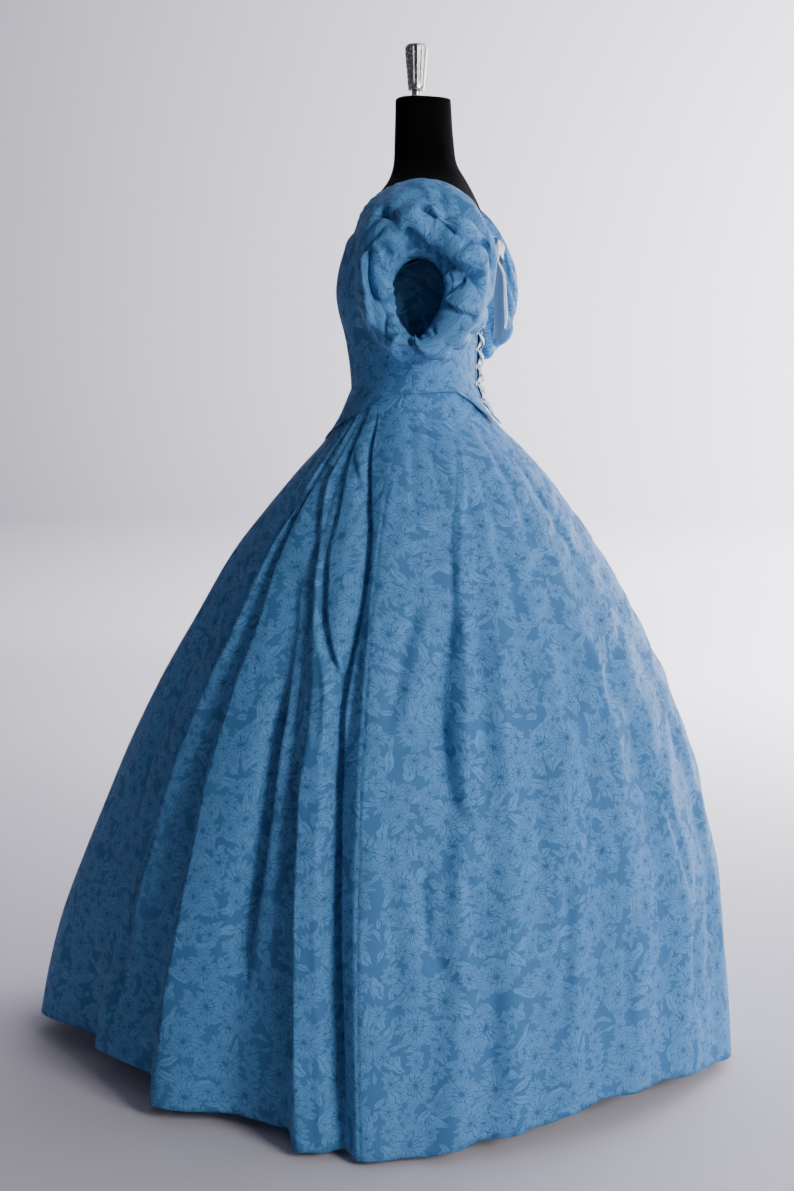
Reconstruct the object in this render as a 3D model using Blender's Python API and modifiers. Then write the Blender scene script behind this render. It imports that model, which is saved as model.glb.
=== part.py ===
# Ball gown on a limbless dress form, in metres, +Z up.
# The gown faces -Y, the wearer's left side is +X, and the stand's base rests on z = 0.
# Body angles are in degrees round the stand's axis, from the centre front (0) over the wearer's
# left side (90) to the centre back (180), and negative over the right side.

import bmesh
import bpy
import numpy as np
from math import radians
from mathutils import Matrix, Vector

COLLECTION = "ball_gown_on_dress_form"

# Driving heights
WAIST = 1.070
HIP = 0.860
KNEE = 0.500
FOLD_FOOT = 0.020
NECK_TOP = 1.5155
FORM_BOTTOM = 0.838

# Walls and gaps
GAP = 0.0003
SKIRT_WALL = 0.0020
BODICE_WALL = 0.0016
SLEEVE_WALL = 0.0016
BAND_WALL = 0.0030
RIBBON_WALL = 0.0008
SKIRT_OVER_FORM = 0.0036
BODICE_OVER_SKIRT = 0.0025
BAND_OVER_FORM = 0.0006
BAND_LEVELS = np.array([WAIST, WAIST + 0.014, WAIST + 0.028])

# Rows of the form between those of its table
FORM_EXTRA_LEVELS = np.array([0.910, 1.033, 1.050, 1.480])

# Grid densities
BASQUE_ROWS = 3
BODICE_ROWS = 6
BODICE_FRONT_COLUMNS = 25
BODICE_BACK_COLUMNS = 13
SLEEVE_COLUMNS = 48
FORM_COLUMNS = 24

# Heights of the skirt's rows; the hem's rise fades out at the knee
SKIRT_LEVELS = np.array([0.020, 0.090, 0.180, 0.275, 0.375, 0.475, 0.575, 0.670, 0.755, 0.830,
                         0.885, 0.930, 0.965, 0.998, 1.032, 1.0697])

# Bodice seams, lacing and bow
SIDE_SEAM = 100.0
LACING_HALF_GAP = 0.015
ARMHOLE_FRONT = 58.3
ARMHOLE_BACK = 126.6
EYELET_PAIRS = 11
EYELET_TOP = 1.290
EYELET_PITCH = 0.0265
EYELET_X = 0.0235
EYELET_RING = 0.0029
EYELET_WIRE = 0.0009
LACE_X = 0.0165
LACE_LOW = 0.0012
LACE_RISE = 0.0042
LACE_PASS = 0.0020
LACE_PINCH = 0.0015
LACE_SPREAD = 0.0062
LACE_STEPS = 6
BOW_HEIGHT = 1.298
BOW_STANDOFF = 0.0068
BOW_WIDTH = 0.020
BOW_REACH = 0.040
TAIL_LEFT = 0.150
TAIL_RIGHT = 0.132
KNOT_HALF = (0.0090, 0.0055, 0.0085)
LACE_START = -0.232
GATHERS = 12

# Bust swell of the form, on each side of the centre front
BUST_ANGLE = 28.0
BUST_SPREAD = 17.0
BUST_HEIGHT = 1.215
BUST_DROP = 0.050
BUST_SWELL = 0.012

# Stand
POLE_RADIUS = 0.016
BASE_RADIUS = 0.160
BASE_THICK = 0.012
COLLAR_RADIUS = 0.030
COLLAR_TOP = 0.034


def table(columns, rows):
    """Named columns of a short table, each one as an array."""
    return dict(zip(columns.split(), np.array(rows, float).T))


# Sections of the form's torso and neck, as radii from the axis; square is the oval's exponent.
FORM = table("height front back side square", [
    (FORM_BOTTOM, 0.080, 0.085, 0.130, 2.0),
    (0.846, 0.094, 0.100, 0.148, 2.0),
    (0.870, 0.102, 0.110, 0.160, 2.0),
    (0.950, 0.104, 0.114, 0.160, 2.0),
    (1.000, 0.100, 0.107, 0.142, 2.0),
    (1.065, 0.0955, 0.0953, 0.1192, 2.0),
    (1.100, 0.0975, 0.0942, 0.1220, 2.0),
    (1.146, 0.1025, 0.0947, 0.1320, 2.1),
    (1.190, 0.1085, 0.0972, 0.1415, 2.2),
    (1.226, 0.1105, 0.1020, 0.1455, 2.2),
    (1.260, 0.1078, 0.1066, 0.1500, 2.2),
    (1.300, 0.0965, 0.1090, 0.1565, 2.2),
    (1.330, 0.0820, 0.1060, 0.1580, 2.2),
    (1.352, 0.0670, 0.0990, 0.1450, 2.2),
    (1.372, 0.0510, 0.0900, 0.1130, 2.2),
    (1.392, 0.0410, 0.0790, 0.0760, 2.1),
    (1.417, 0.0350, 0.0645, 0.0510, 2.0),
    (1.450, 0.0335, 0.0590, 0.0465, 2.0),
    (NECK_TOP, 0.0320, 0.0540, 0.0430, 2.0),
])

# Bell of the skirt without its folds, as radii from the axis.
BELL = table("height front back side", [
    (0.000, 0.648, 0.519, 0.483),
    (0.119, 0.624, 0.5105, 0.477),
    (0.201, 0.600, 0.503, 0.471),
    (0.299, 0.562, 0.492, 0.4625),
    (0.406, 0.515, 0.469, 0.4425),
    (0.510, 0.469, 0.441, 0.4175),
    (0.614, 0.415, 0.401, 0.381),
    (0.704, 0.361, 0.358, 0.3415),
    (0.817, 0.292, 0.294, 0.2915),
    (0.883, 0.240, 0.248, 0.2535),
    (0.940, 0.190, 0.204, 0.2165),
    (0.982, 0.150, 0.165, 0.183),
    (1.005, 0.1310, 0.1400, 0.160),
    (1.030, 0.1160, 0.1160, 0.140),
    (1.070, 0.0992, 0.0989, 0.1229),
])

# Lines along the folds of the skirt, from the centre front to the side seam and on to the centre
# back: the angle at waist, hip, knee and hem, how far in the cloth lies there in millimetres
# (negative is out), the height of the hem, and the number of steps to the next line.
FRONT_FOLDS = table("waist hip knee hem in_waist in_hip in_knee in_hem rise steps", [
    (0.0, 0.0, 0.0, 0.0, 0, 3, 8, 12, 0.040, 2),
    (12.0, 9.0, 8.0, 8.0, 0, 0, 0, 0, 0.036, 4),
    (46.0, 42.5, 36.0, 21.0, 0.5, 8, 28, 60, 0.042, 2),
    (50.0, 48.5, 40.5, 29.0, 0, 0, 6, 32, 0.046, 2),
    (52.5, 50.8, 48.0, 41.0, 0.5, 10, 32, 50, 0.038, 2),
    (55.5, 53.5, 52.5, 50.5, 0, 0, 0, -6, 0.024, 3),
    (60.0, 62.0, 67.0, 64.0, 0.5, 6, 24, 48, 0.022, 2),
    (63.0, 66.5, 72.5, 74.5, 0.5, 10, 25, 44, 0.020, 2),
    (66.0, 70.0, 76.0, 79.5, 0, 0, 0, -4, 0.012, 2),
    (70.0, 77.0, 80.0, 83.0, 0, 0, 2, 4, 0.012, 2),
    (76.0, 84.0, 84.5, 86.8, 0.5, 9, 16, 24, 0.013, 2),
    (90.0, 88.3, 89.0, 90.3, 0, 0, -5, -4, 0.010, 0),
])
BACK_FOLDS = table("waist hip knee hem in_waist in_hip in_knee in_hem rise steps", [
    (90.0, 88.3, 89.0, 90.3, 0, 0, -5, -4, 0.010, 3),
    (108.0, 109.5, 105.5, 101.0, 0, 6, 9, 5, 0.012, 2),
    (119.0, 114.0, 109.0, 106.5, 0, 0, -3, -2, 0.020, 2),
    (124.0, 118.5, 113.5, 111.0, 0, 3, 5, 6, 0.026, 2),
    (128.0, 123.0, 118.0, 116.5, 0, 0, -3, -4, 0.030, 2),
    (133.0, 128.0, 124.0, 122.5, 0, 3, 5, 7, 0.034, 2),
    (138.0, 133.0, 130.5, 129.0, 0, 0, -3, -4, 0.044, 2),
    (143.0, 139.0, 137.5, 136.0, 0, 3, 6, 8, 0.050, 2),
    (149.0, 146.0, 144.5, 143.5, 0, 0, -4, -4, 0.050, 2),
    (155.0, 152.5, 152.0, 151.5, 0, 2, 5, 7, 0.046, 2),
    (161.0, 159.5, 159.5, 160.0, 0, 0, -3, -3, 0.038, 2),
    (167.0, 167.0, 167.5, 168.0, 0, 2, 4, 6, 0.027, 2),
    (173.0, 173.5, 174.0, 174.5, 0, 0, -2, -2, 0.018, 2),
    (180.0, 180.0, 180.0, 180.0, 0, 1, 2, 3, 0.012, 0),
])

# Lower and upper edge of the bodice.
LOWER_EDGE = table("angle height", [
    (0, 0.988), (25, 1.005), (48, 1.025), (74, 1.050), (95, 1.063),
    (131, 1.066), (147, 1.050), (167, 1.018), (180, 1.010),
])
UPPER_EDGE = table("angle height", [
    (0, 1.285), (25, 1.289), (45, 1.298), (ARMHOLE_FRONT, 1.306), (66.7, 1.281), (75, 1.262),
    (91.7, 1.250), (108.9, 1.268), (117.7, 1.285), (ARMHOLE_BACK, 1.311), (140, 1.308), (180, 1.300),
])

# Free edge of the left sleeve over the shoulder; turn is degrees round the arm, from the top (0)
# over the back (90) and the underarm (180) to the front (270).
SHOULDER_EDGE = table("turn x y z", [
    (-65, 0.119, -0.055, 1.345),
    (-30, 0.111, -0.025, 1.372),
    (0, 0.108, 0.012, 1.381),
    (35, 0.111, 0.052, 1.371),
    (70, 0.120, 0.083, 1.343),
])
UNDERARM = table("turn angle", [
    (100, ARMHOLE_BACK), (120, 117.7), (150, 104.0), (180, 91.7), (210, 79.0), (240, 66.7),
    (262, ARMHOLE_FRONT),
])

# Rings of the left sleeve from the armhole to the cuff: x at the top and at the bottom, the
# middle in y, the top and the bottom in z, half of the depth in y, and the gathers' height.
PUFF = table("x_top x_low mid_y top low depth gather", [
    (0.132, 0.164, 0.020, 1.3775, 1.222, 0.094, 0.0030),
    (0.158, 0.168, 0.032, 1.3735, 1.168, 0.102, 0.0040),
    (0.185, 0.180, 0.042, 1.3690, 1.122, 0.1065, 0.0030),
    (0.206, 0.200, 0.046, 1.3600, 1.106, 0.1065, 0.0030),
    (0.222, 0.222, 0.047, 1.3360, 1.108, 0.0990, 0.0045),
    (0.252, 0.246, 0.046, 1.3340, 1.116, 0.0950, 0.0045),
    (0.270, 0.262, 0.044, 1.3150, 1.127, 0.0780, 0.0040),
    (0.268, 0.262, 0.043, 1.2870, 1.133, 0.0600, 0.0045),
    (0.260, 0.256, 0.042, 1.2640, 1.138, 0.0470, 0.0030),
    (0.248, 0.246, 0.042, 1.2560, 1.142, 0.0420, 0.0015),
])

# Turned pieces, as radius and height.
BASE_PROFILE = [(0, 0), (BASE_RADIUS - 0.002, 0), (BASE_RADIUS, 0.002),
                (BASE_RADIUS, BASE_THICK - 0.003), (BASE_RADIUS - 0.003, BASE_THICK),
                (COLLAR_RADIUS, BASE_THICK), (COLLAR_RADIUS, COLLAR_TOP - 0.002),
                (COLLAR_RADIUS - 0.002, COLLAR_TOP), (0, COLLAR_TOP)]
CAP_PROFILE = [(0, 1.5158), (0.0290, 1.5158), (0.0305, 1.5170), (0.0290, 1.5190),
               (0.0100, 1.5205), (0.0070, 1.5230), (0.0070, 1.5297), (0, 1.5297)]
FINIAL_PROFILE = [(0, 1.5300), (0.0115, 1.5300), (0.0128, 1.5320), (0.0138, 1.5450),
                  (0.0176, 1.5900), (0.0172, 1.5960), (0.0125, 1.6005), (0, 1.6020)]


def curve_through(x, stations, values):
    """Smooth curve through the stations (cubic Hermite with mean slopes), read at x."""
    steps = np.diff(values) / np.diff(stations)
    slopes = np.concatenate(([steps[0]], (steps[1:] + steps[:-1]) / 2, [steps[-1]]))
    x = np.clip(x, stations[0], stations[-1])
    k = np.clip(np.searchsorted(stations, x, side="right") - 1, 0, len(stations) - 2)
    width = stations[k + 1] - stations[k]
    t = (x - stations[k]) / width
    return ((2 * t**3 - 3 * t**2 + 1) * values[k] + (t**3 - 2 * t**2 + t) * width * slopes[k]
            + (3 * t**2 - 2 * t**3) * values[k + 1] + (t**3 - t**2) * width * slopes[k + 1])


def oval(angle, front, back, side, square):
    """Radius of an oval: (|sin a / side|^n + |cos a / depth|^n)^(-1/n)."""
    across = np.abs(np.sin(np.radians(angle))) / side
    ahead = np.cos(np.radians(angle))
    along = np.abs(ahead) / np.where(ahead > 0, front, back)
    return (across**square + along**square) ** (-1 / square)


def form_radius(angle, height):
    """Radius of the form's torso and neck, with the bust's swell on each side of the front."""
    section = [curve_through(height, FORM["height"], FORM[c])
               for c in ("front", "back", "side", "square")]
    swell = BUST_SWELL * np.exp(-((np.abs(angle) - BUST_ANGLE) / BUST_SPREAD)**2
                                - ((height - BUST_HEIGHT) / BUST_DROP)**2)
    return oval(angle, *section) + swell


def bell_radius(angle, height):
    """Radius of the skirt's bell without folds; its plan grows pointed toward the hem."""
    section = [curve_through(height, BELL["height"], BELL[c]) for c in ("front", "back", "side")]
    drop = 1 - height / WAIST
    square = np.where(np.cos(np.radians(angle)) > 0, 2 - 0.3 * drop, 2 - 0.4 * drop)
    return oval(angle, *section, square)


def bodice_radius(angle, height):
    """Radius of the bodice: over the form above the waist, over the skirt's rows below it."""
    row = np.clip(np.searchsorted(SKIRT_LEVELS, height) - 1, 0, len(SKIRT_LEVELS) - 2)
    low, high = SKIRT_LEVELS[row], SKIRT_LEVELS[row + 1]
    t = np.clip((height - low) / (high - low), 0, 1)
    skirt = bell_radius(angle, low) * (1 - t) + bell_radius(angle, high) * t
    under = np.where(height < WAIST, skirt, form_radius(angle, height) + SKIRT_OVER_FORM)
    return under + BODICE_OVER_SKIRT


def around(angle, radius, height):
    """Points at body angles."""
    a = np.radians(angle)
    return np.stack(np.broadcast_arrays(radius * np.sin(a), -radius * np.cos(a), height), axis=-1)


def tangents(angle):
    """Level unit vectors in the direction of a growing body angle."""
    a = np.radians(angle)
    return np.stack(np.broadcast_arrays(np.cos(a), np.sin(a), 0.0 * a), axis=-1)


def unit(vectors):
    return vectors / np.linalg.norm(vectors, axis=-1, keepdims=True)


def grid_normals(points, closed):
    """Unit normals of a grid of points, as (along a row) x (along a column)."""
    if closed:
        along = np.roll(points, -1, axis=1) - np.roll(points, 1, axis=1)
    else:
        along = np.gradient(points, axis=1)
    return unit(np.cross(along, np.gradient(points, axis=0)))


def material(name, colour, roughness, metallic=0.0):
    """Principled material with the photo's colour."""
    made = bpy.data.materials.get(name) or bpy.data.materials.new(name)
    made.use_nodes = True
    shader = made.node_tree.nodes["Principled BSDF"]
    shader.inputs["Base Color"].default_value = (*colour, 1.0)
    shader.inputs["Roughness"].default_value = roughness
    shader.inputs["Metallic"].default_value = metallic
    return made


def gown_cloth():
    return material("gown_cloth", (0.052, 0.185, 0.330), 0.55)


def ribbon_cloth():
    return material("ribbon_cloth", (0.330, 0.520, 0.680), 0.45)


def form_jersey():
    return material("form_jersey", (0.006, 0.006, 0.007), 0.90)


def silver_metal():
    return material("silver_metal", (0.720, 0.720, 0.710), 0.30, 1.0)


def stand_metal():
    return material("stand_metal", (0.020, 0.020, 0.022), 0.45, 0.6)


def add_object(name, mesh, finish):
    """A new object for a mesh, smooth, with its material, in the gown's collection."""
    mesh.materials.append(finish)
    mesh.shade_smooth()
    made = bpy.data.objects.new(name, mesh)
    bpy.data.collections[COLLECTION].objects.link(made)
    return made


def finish_primitive(name, finish, place):
    """Name, place and finish the primitive that was added last."""
    made = bpy.context.object
    made.name = name
    made.data.materials.append(finish)
    made.data.shade_smooth()
    made.location = place
    for group in list(made.users_collection):
        group.objects.unlink(made)
    bpy.data.collections[COLLECTION].objects.link(made)
    return made


def mesh_from(name, points, faces):
    """Mesh from points and faces, with all its faces outward."""
    mesh = bpy.data.meshes.new(name)
    mesh.from_pydata(np.asarray(points).reshape(-1, 3).tolist(), [], faces)
    work = bmesh.new()
    work.from_mesh(mesh)
    bmesh.ops.recalc_face_normals(work, faces=work.faces)
    work.to_mesh(mesh)
    work.free()
    return mesh


def grid_faces(rows, columns, closed, start=0):
    """Quads of a grid of rows by columns of points."""
    spans = columns if closed else columns - 1
    return [(start + r * columns + c, start + r * columns + (c + 1) % columns,
             start + (r + 1) * columns + (c + 1) % columns, start + (r + 1) * columns + c)
            for r in range(rows - 1) for c in range(spans)]


def wall(name, outer, inner, finish, closed=False):
    """Closed cloth wall between an outer and an inner grid of points."""
    rows, columns = outer.shape[:2]
    count = rows * columns
    faces = grid_faces(rows, columns, closed) + grid_faces(rows, columns, closed, count)
    edge = [list(range(columns)), list(range(count - columns, count))]
    for line in edge:
        ends = zip(line, line[1:] + line[:1]) if closed else zip(line, line[1:])
        faces += [(a, b, b + count, a + count) for a, b in ends]
    if not closed:
        for line in (range(0, count, columns), range(columns - 1, count, columns)):
            faces += [(a, b, b + count, a + count) for a, b in zip(line, line[1:])]
    return add_object(name, mesh_from(name, np.concatenate((outer, inner)), faces), finish)


def loft(name, rings, finish):
    """Closed solid through rings of points, with a flat face on each end."""
    rows, columns = rings.shape[:2]
    faces = grid_faces(rows, columns, True)
    faces += [tuple(range(columns)), tuple(range((rows - 1) * columns, rows * columns))]
    return add_object(name, mesh_from(name, rings, faces), finish)


def turned(name, profile, steps, finish):
    """Turned piece from a profile of radius and height."""
    mesh = bpy.data.meshes.new(name)
    mesh.from_pydata([(r, 0, z) for r, z in profile], [(k, k + 1) for k in range(len(profile) - 1)], [])
    made = add_object(name, mesh, finish)
    screw = made.modifiers.new("turn", "SCREW")
    screw.angle = radians(360)
    screw.steps = steps
    screw.render_steps = steps
    screw.use_merge_vertices = True
    screw.merge_threshold = 0.00001
    screw.use_normal_calculate = True
    return made


def band(name, centre, across, thickness, finish):
    """Flat ribbon along a line of centres; across is half of its width as a vector."""
    along = np.gradient(centre, axis=0)
    lift = unit(np.cross(along, across)) * thickness / 2
    rings = np.stack((centre + across + lift, centre - across + lift,
                      centre - across - lift, centre + across - lift), axis=1)
    return loft(name, rings, finish)


def fold_lines(folds, side, heights):
    """Angle and depth of each fold line at each height; the right side differs a little."""
    stations = np.array([FOLD_FOOT, KNEE, HIP, WAIST])
    count = len(folds["waist"])
    lines = np.arange(count)
    angle = np.empty((len(heights), count))
    depth = np.empty((len(heights), count))
    for k in lines:
        angle[:, k] = curve_through(heights, stations,
                                    np.array([folds[c][k] for c in ("hem", "knee", "hip", "waist")]))
        depth[:, k] = np.interp(heights, stations, [folds[c][k] for c in
                                                    ("in_hem", "in_knee", "in_hip", "in_waist")])
    if side < 0:
        angle[:, 1:-1] += 1.2 * np.sin(2.1 * lines[1:-1]) * (WAIST - heights[:, None]) / WAIST
        depth = depth * (1 + 0.15 * np.sin(1.7 * lines))
    return angle, depth / 1000


def skirt_grid(folds, side):
    """Angles, depths and heights of a skirt panel's grid, with columns along its fold lines."""
    line_angle, line_depth = fold_lines(folds, side, SKIRT_LEVELS)
    angle, depth, rise = [], [], []
    for k, steps in enumerate(folds["steps"].astype(int)):
        for step in range(max(steps, 1)):
            t = step / max(steps, 1)
            after = min(k + 1, len(folds["steps"]) - 1)
            eased = 3 * t**2 - 2 * t**3
            angle.append(line_angle[:, k] * (1 - t) + line_angle[:, after] * t)
            depth.append(line_depth[:, k] * (1 - eased) + line_depth[:, after] * eased)
            rise.append(folds["rise"][k] * (1 - eased) + folds["rise"][after] * eased)
    angle, depth = np.array(angle).T, np.array(depth).T
    fade = np.clip(1 - (SKIRT_LEVELS - FOLD_FOOT) / (KNEE - FOLD_FOOT), 0, 1)
    height = SKIRT_LEVELS[:, None] + fade[:, None] * (np.array(rise)[None, :] - FOLD_FOOT)
    return side * angle, depth, height


def inner_points(outer, angle, side, thickness, seams):
    """Inner points of a wall: along the normals, and along the seam's own plane at a seam."""
    normals = grid_normals(outer, False) * side
    for column in seams:
        flat = tangents(angle[:, column])
        normal = normals[:, column]
        normals[:, column] = unit(normal - np.sum(normal * flat, axis=1, keepdims=True) * flat)
    return outer - thickness * normals


def open_seams(points, angle, side):
    """Move the first and the last column apart from the neighbour's by half of the gap."""
    points = points.copy()
    points[:, 0] += side * tangents(angle[:, 0]) * GAP / 2
    points[:, -1] -= side * tangents(angle[:, -1]) * GAP / 2
    return points


def skirt_panel(name, folds, side):
    """One of the four panels, with its pleats, in from the bell."""
    angle, depth, height = skirt_grid(folds, side)
    radius = bell_radius(angle, height) - depth
    outer = open_seams(around(angle, radius, height), angle, side)
    inner = inner_points(outer, angle, side, SKIRT_WALL, (0, -1))
    return wall(name, outer, inner, gown_cloth())


def waistband():
    """Band round the form that the skirt hangs from, under the bodice."""
    angle = np.linspace(0, 360, FORM_COLUMNS, endpoint=False)
    height = BAND_LEVELS[:, None]
    shape = np.where(angle > 180, angle - 360, angle)
    inner = form_radius(shape, height) + BAND_OVER_FORM
    return wall("skirt_waistband", around(angle, inner + BAND_WALL, height),
                around(angle, inner, height), gown_cloth(), closed=True)


def bodice_heights(angle):
    """Heights of the bodice's rows at each angle: from the lower edge over the waist to the top."""
    bare = np.abs(angle)
    low = np.interp(bare, LOWER_EDGE["angle"], LOWER_EDGE["height"])
    high = np.interp(bare, UPPER_EDGE["angle"], UPPER_EDGE["height"])
    basque = [low + (WAIST - low) * t for t in np.arange(BASQUE_ROWS) / BASQUE_ROWS]
    body = [WAIST + (high - WAIST) * t for t in np.linspace(0, 1, BODICE_ROWS + 1)]
    return np.array(basque + body)


def bodice_front():
    """Front from side seam to side seam."""
    angle = np.linspace(-SIDE_SEAM, SIDE_SEAM, BODICE_FRONT_COLUMNS)
    height = bodice_heights(angle)
    angle = np.broadcast_to(angle, height.shape)
    outer = open_seams(around(angle, bodice_radius(angle, height), height), angle, 1)
    inner = inner_points(outer, angle, 1, BODICE_WALL, (0, -1))
    return wall("bodice_front", outer, inner, gown_cloth())


def bodice_back(name, side):
    """Back from the side seam to the lacing's gap at the centre back."""
    share = np.linspace(0, 1, BODICE_BACK_COLUMNS)
    height = bodice_heights(SIDE_SEAM + share * (180 - SIDE_SEAM))
    last = 180 - np.degrees(np.arcsin(LACING_HALF_GAP / bodice_radius(180.0, height[:, -1])))
    angle = side * (SIDE_SEAM + share * (last[:, None] - SIDE_SEAM))
    outer = open_seams(around(angle, bodice_radius(angle, height), height), angle, side)
    inner = inner_points(outer, angle, side, BODICE_WALL, (0, -1))
    return wall(name, outer, inner, gown_cloth())


def armhole_ring(turn):
    """Inner edge of the left sleeve: over the shoulder, and along the bodice's armhole."""
    body = UNDERARM["angle"]
    height = np.interp(body, UPPER_EDGE["angle"], UPPER_EDGE["height"]) - 0.002
    reach = bodice_radius(body, height) + 2 * GAP + SLEEVE_WALL
    under = around(body, reach, height)
    turns = np.concatenate((SHOULDER_EDGE["turn"], UNDERARM["turn"]))
    turns = np.append(turns, SHOULDER_EDGE["turn"][0] + 360)
    over = np.stack([SHOULDER_EDGE[c] for c in "xyz"], axis=1)
    points = np.concatenate((over, under, over[:1]))
    at = np.where(turn > turns[-1], turn - 360, turn)
    return np.stack([np.interp(at, turns, points[:, c]) for c in range(3)], axis=1)


def gather_wave(turn):
    """Wave of the gathers round the arm, -1 to 1, uneven in its spacing."""
    a = np.radians(turn)
    return np.cos(GATHERS * a + 0.9 * np.sin(2 * a + 0.6) + 0.5 * np.sin(3 * a + 2.0))


def sleeve(name, side):
    """Puff sleeve from the armhole over its smooth cap and the roll to the open cuff."""
    turn = np.linspace(0, 360, SLEEVE_COLUMNS, endpoint=False)
    a = np.radians(turn)
    rings = [armhole_ring(turn)]
    for k in range(len(PUFF["top"])):
        ring = {column: PUFF[column][k] for column in PUFF}
        upper = (1 + np.cos(a)) / 2
        x = ring["x_low"] + (ring["x_top"] - ring["x_low"]) * upper
        tall = (ring["top"] - ring["low"]) / 2
        swell = ring["gather"] * (gather_wave(turn) - 1) / 2
        y = ring["mid_y"] + (ring["depth"] + swell) * np.sin(a)
        z = (ring["top"] + ring["low"]) / 2 + (tall + swell) * np.cos(a)
        rings.append(np.stack((x, y, z), axis=1))
    outer = np.array(rings)
    inner = outer + SLEEVE_WALL * grid_normals(outer, True)
    mirror = np.array([side, 1, 1])
    return wall(name, outer * mirror, inner * mirror, gown_cloth(), closed=True)


def back_seat(x, height, lift):
    """Point over the bodice's back at a given x, raised from the cloth along its normal."""
    def on_cloth(px, pz):
        angle = 180 - np.degrees(np.arctan2(px, bodice_radius(180.0, pz)))
        rows = bodice_heights(angle)
        depth = bodice_radius(angle, rows) * np.cos(np.radians(180 - angle))
        return np.array([px, np.interp(pz, rows, depth), pz])

    step = 0.002
    normal = np.cross(on_cloth(x - step, height) - on_cloth(x + step, height),
                      on_cloth(x, height + step) - on_cloth(x, height - step))
    normal = unit(normal)
    return on_cloth(x, height) + lift * normal, normal


def eyelets():
    """Pairs of eyelet rings along the lacing's gap."""
    for row in range(EYELET_PAIRS):
        for side, label in ((1, "left"), (-1, "right")):
            seat, normal = back_seat(side * EYELET_X, EYELET_TOP - row * EYELET_PITCH,
                                     EYELET_WIRE + GAP)
            bpy.ops.mesh.primitive_torus_add(major_segments=8, minor_segments=3,
                                             major_radius=EYELET_RING, minor_radius=EYELET_WIRE)
            ring = finish_primitive(f"eyelet_{label}_{row + 1:02d}", silver_metal(), seat)
            ring.rotation_euler = Vector(normal).to_track_quat("Z", "Y").to_euler()


def lace(name, side):
    """Ribbon that winds down between the eyelets, over and under the other one by turns."""
    t = np.append(LACE_START, np.linspace(0, EYELET_PAIRS - 1, LACE_STEPS * (EYELET_PAIRS - 1) + 1))
    x = side * LACE_X * np.cos(np.pi * t)
    height = EYELET_TOP - EYELET_PITCH * t
    open_share = np.sin(np.pi * t) ** 2
    lift = LACE_LOW + LACE_RISE * open_share + side * LACE_PASS * np.sin(np.pi * t)
    centre = np.array([back_seat(0.0, z, h)[0] for z, h in zip(height, lift)])
    centre[:, 0] = x
    along = unit(np.gradient(centre, axis=0))
    half = (LACE_PINCH + LACE_SPREAD * open_share) / 2
    across = unit(np.cross(along, np.array([0.0, 1.0, 0.0]))) * half[:, None]
    return band(name, centre, across, RIBBON_WALL, ribbon_cloth())


def bow():
    """Bow at the top of the lacing: a knot, two loops and two tails."""
    seat, normal = back_seat(0.0, BOW_HEIGHT, BOW_STANDOFF)
    bpy.ops.mesh.primitive_uv_sphere_add(segments=10, ring_count=6, radius=1.0)
    knot = finish_primitive("bow_knot", ribbon_cloth(), seat)
    knot.data.transform(Matrix.Diagonal((*KNOT_HALF, 1.0)))
    for side, label in ((1, "left"), (-1, "right")):
        bow_loop("bow_loop_" + label, seat, side)
        bow_tail("bow_tail_" + label, seat, side)


def bow_loop(name, seat, side):
    """Loop of ribbon that leaves the knot, droops outward and comes back below itself."""
    t = np.linspace(0, 1, 15)
    reach = KNOT_HALF[0] + 2 * GAP + BOW_REACH * np.sin(np.pi * t) ** 0.8
    open_y = 0.0005 + 0.0075 * np.sin(np.pi * t) + 0.0065 * np.sin(2 * np.pi * t) + 0.0012 * (1 - 2 * t)
    run = reach - reach[0]
    droop = -0.34 * run - 5.0 * run ** 2
    centre = np.stack((side * reach, open_y, droop), axis=1) + seat
    half = BOW_WIDTH / 2 * (0.35 + 0.65 * np.clip(run / 0.02, 0, 1))
    across = np.stack((side * 0.3 * half, 0 * half, 0.95 * half), axis=1)
    return band(name, centre, across, RIBBON_WALL, ribbon_cloth())


def bow_tail(name, seat, side):
    """Tail of ribbon from under the knot, free at its straight cut end."""
    length = TAIL_LEFT if side > 0 else TAIL_RIGHT
    t = np.linspace(0, 1, 10)
    x = side * (0.0035 + 0.018 * t + 0.003 * np.sin(4 * t))
    y = -0.0010 + 0.006 * np.sin(2.6 * t) + 0.0015 * np.sin(9 * t) + side * 0.0004
    z = -KNOT_HALF[2] - 2 * GAP - (length - KNOT_HALF[2]) * t
    centre = np.stack((x, y, z), axis=1) + seat
    half = BOW_WIDTH / 2 * (0.25 + 0.75 * np.clip(t / 0.45, 0, 1))
    across = np.stack((half, 0.12 * side * half, 0 * half), axis=1)
    return band(name, centre, across, RIBBON_WALL, ribbon_cloth())


def form_torso():
    """Torso and neck of the form, closed and smooth."""
    heights = np.union1d(np.union1d(FORM["height"], BAND_LEVELS), FORM_EXTRA_LEVELS)[:, None]
    angle = np.linspace(0, 360, FORM_COLUMNS, endpoint=False)[None, :]
    shape = np.where(angle > 180, angle - 360, angle)
    radius = form_radius(shape, heights)
    return loft("form_torso", around(angle, radius, np.broadcast_to(heights, radius.shape)),
                form_jersey())


def form_pole():
    """Pole from the base's collar to the torso."""
    low, high = COLLAR_TOP + GAP, FORM_BOTTOM - GAP
    bpy.ops.mesh.primitive_cylinder_add(vertices=24, radius=POLE_RADIUS, depth=high - low)
    finish_primitive("form_pole", stand_metal(), (0, 0, (low + high) / 2))


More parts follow.
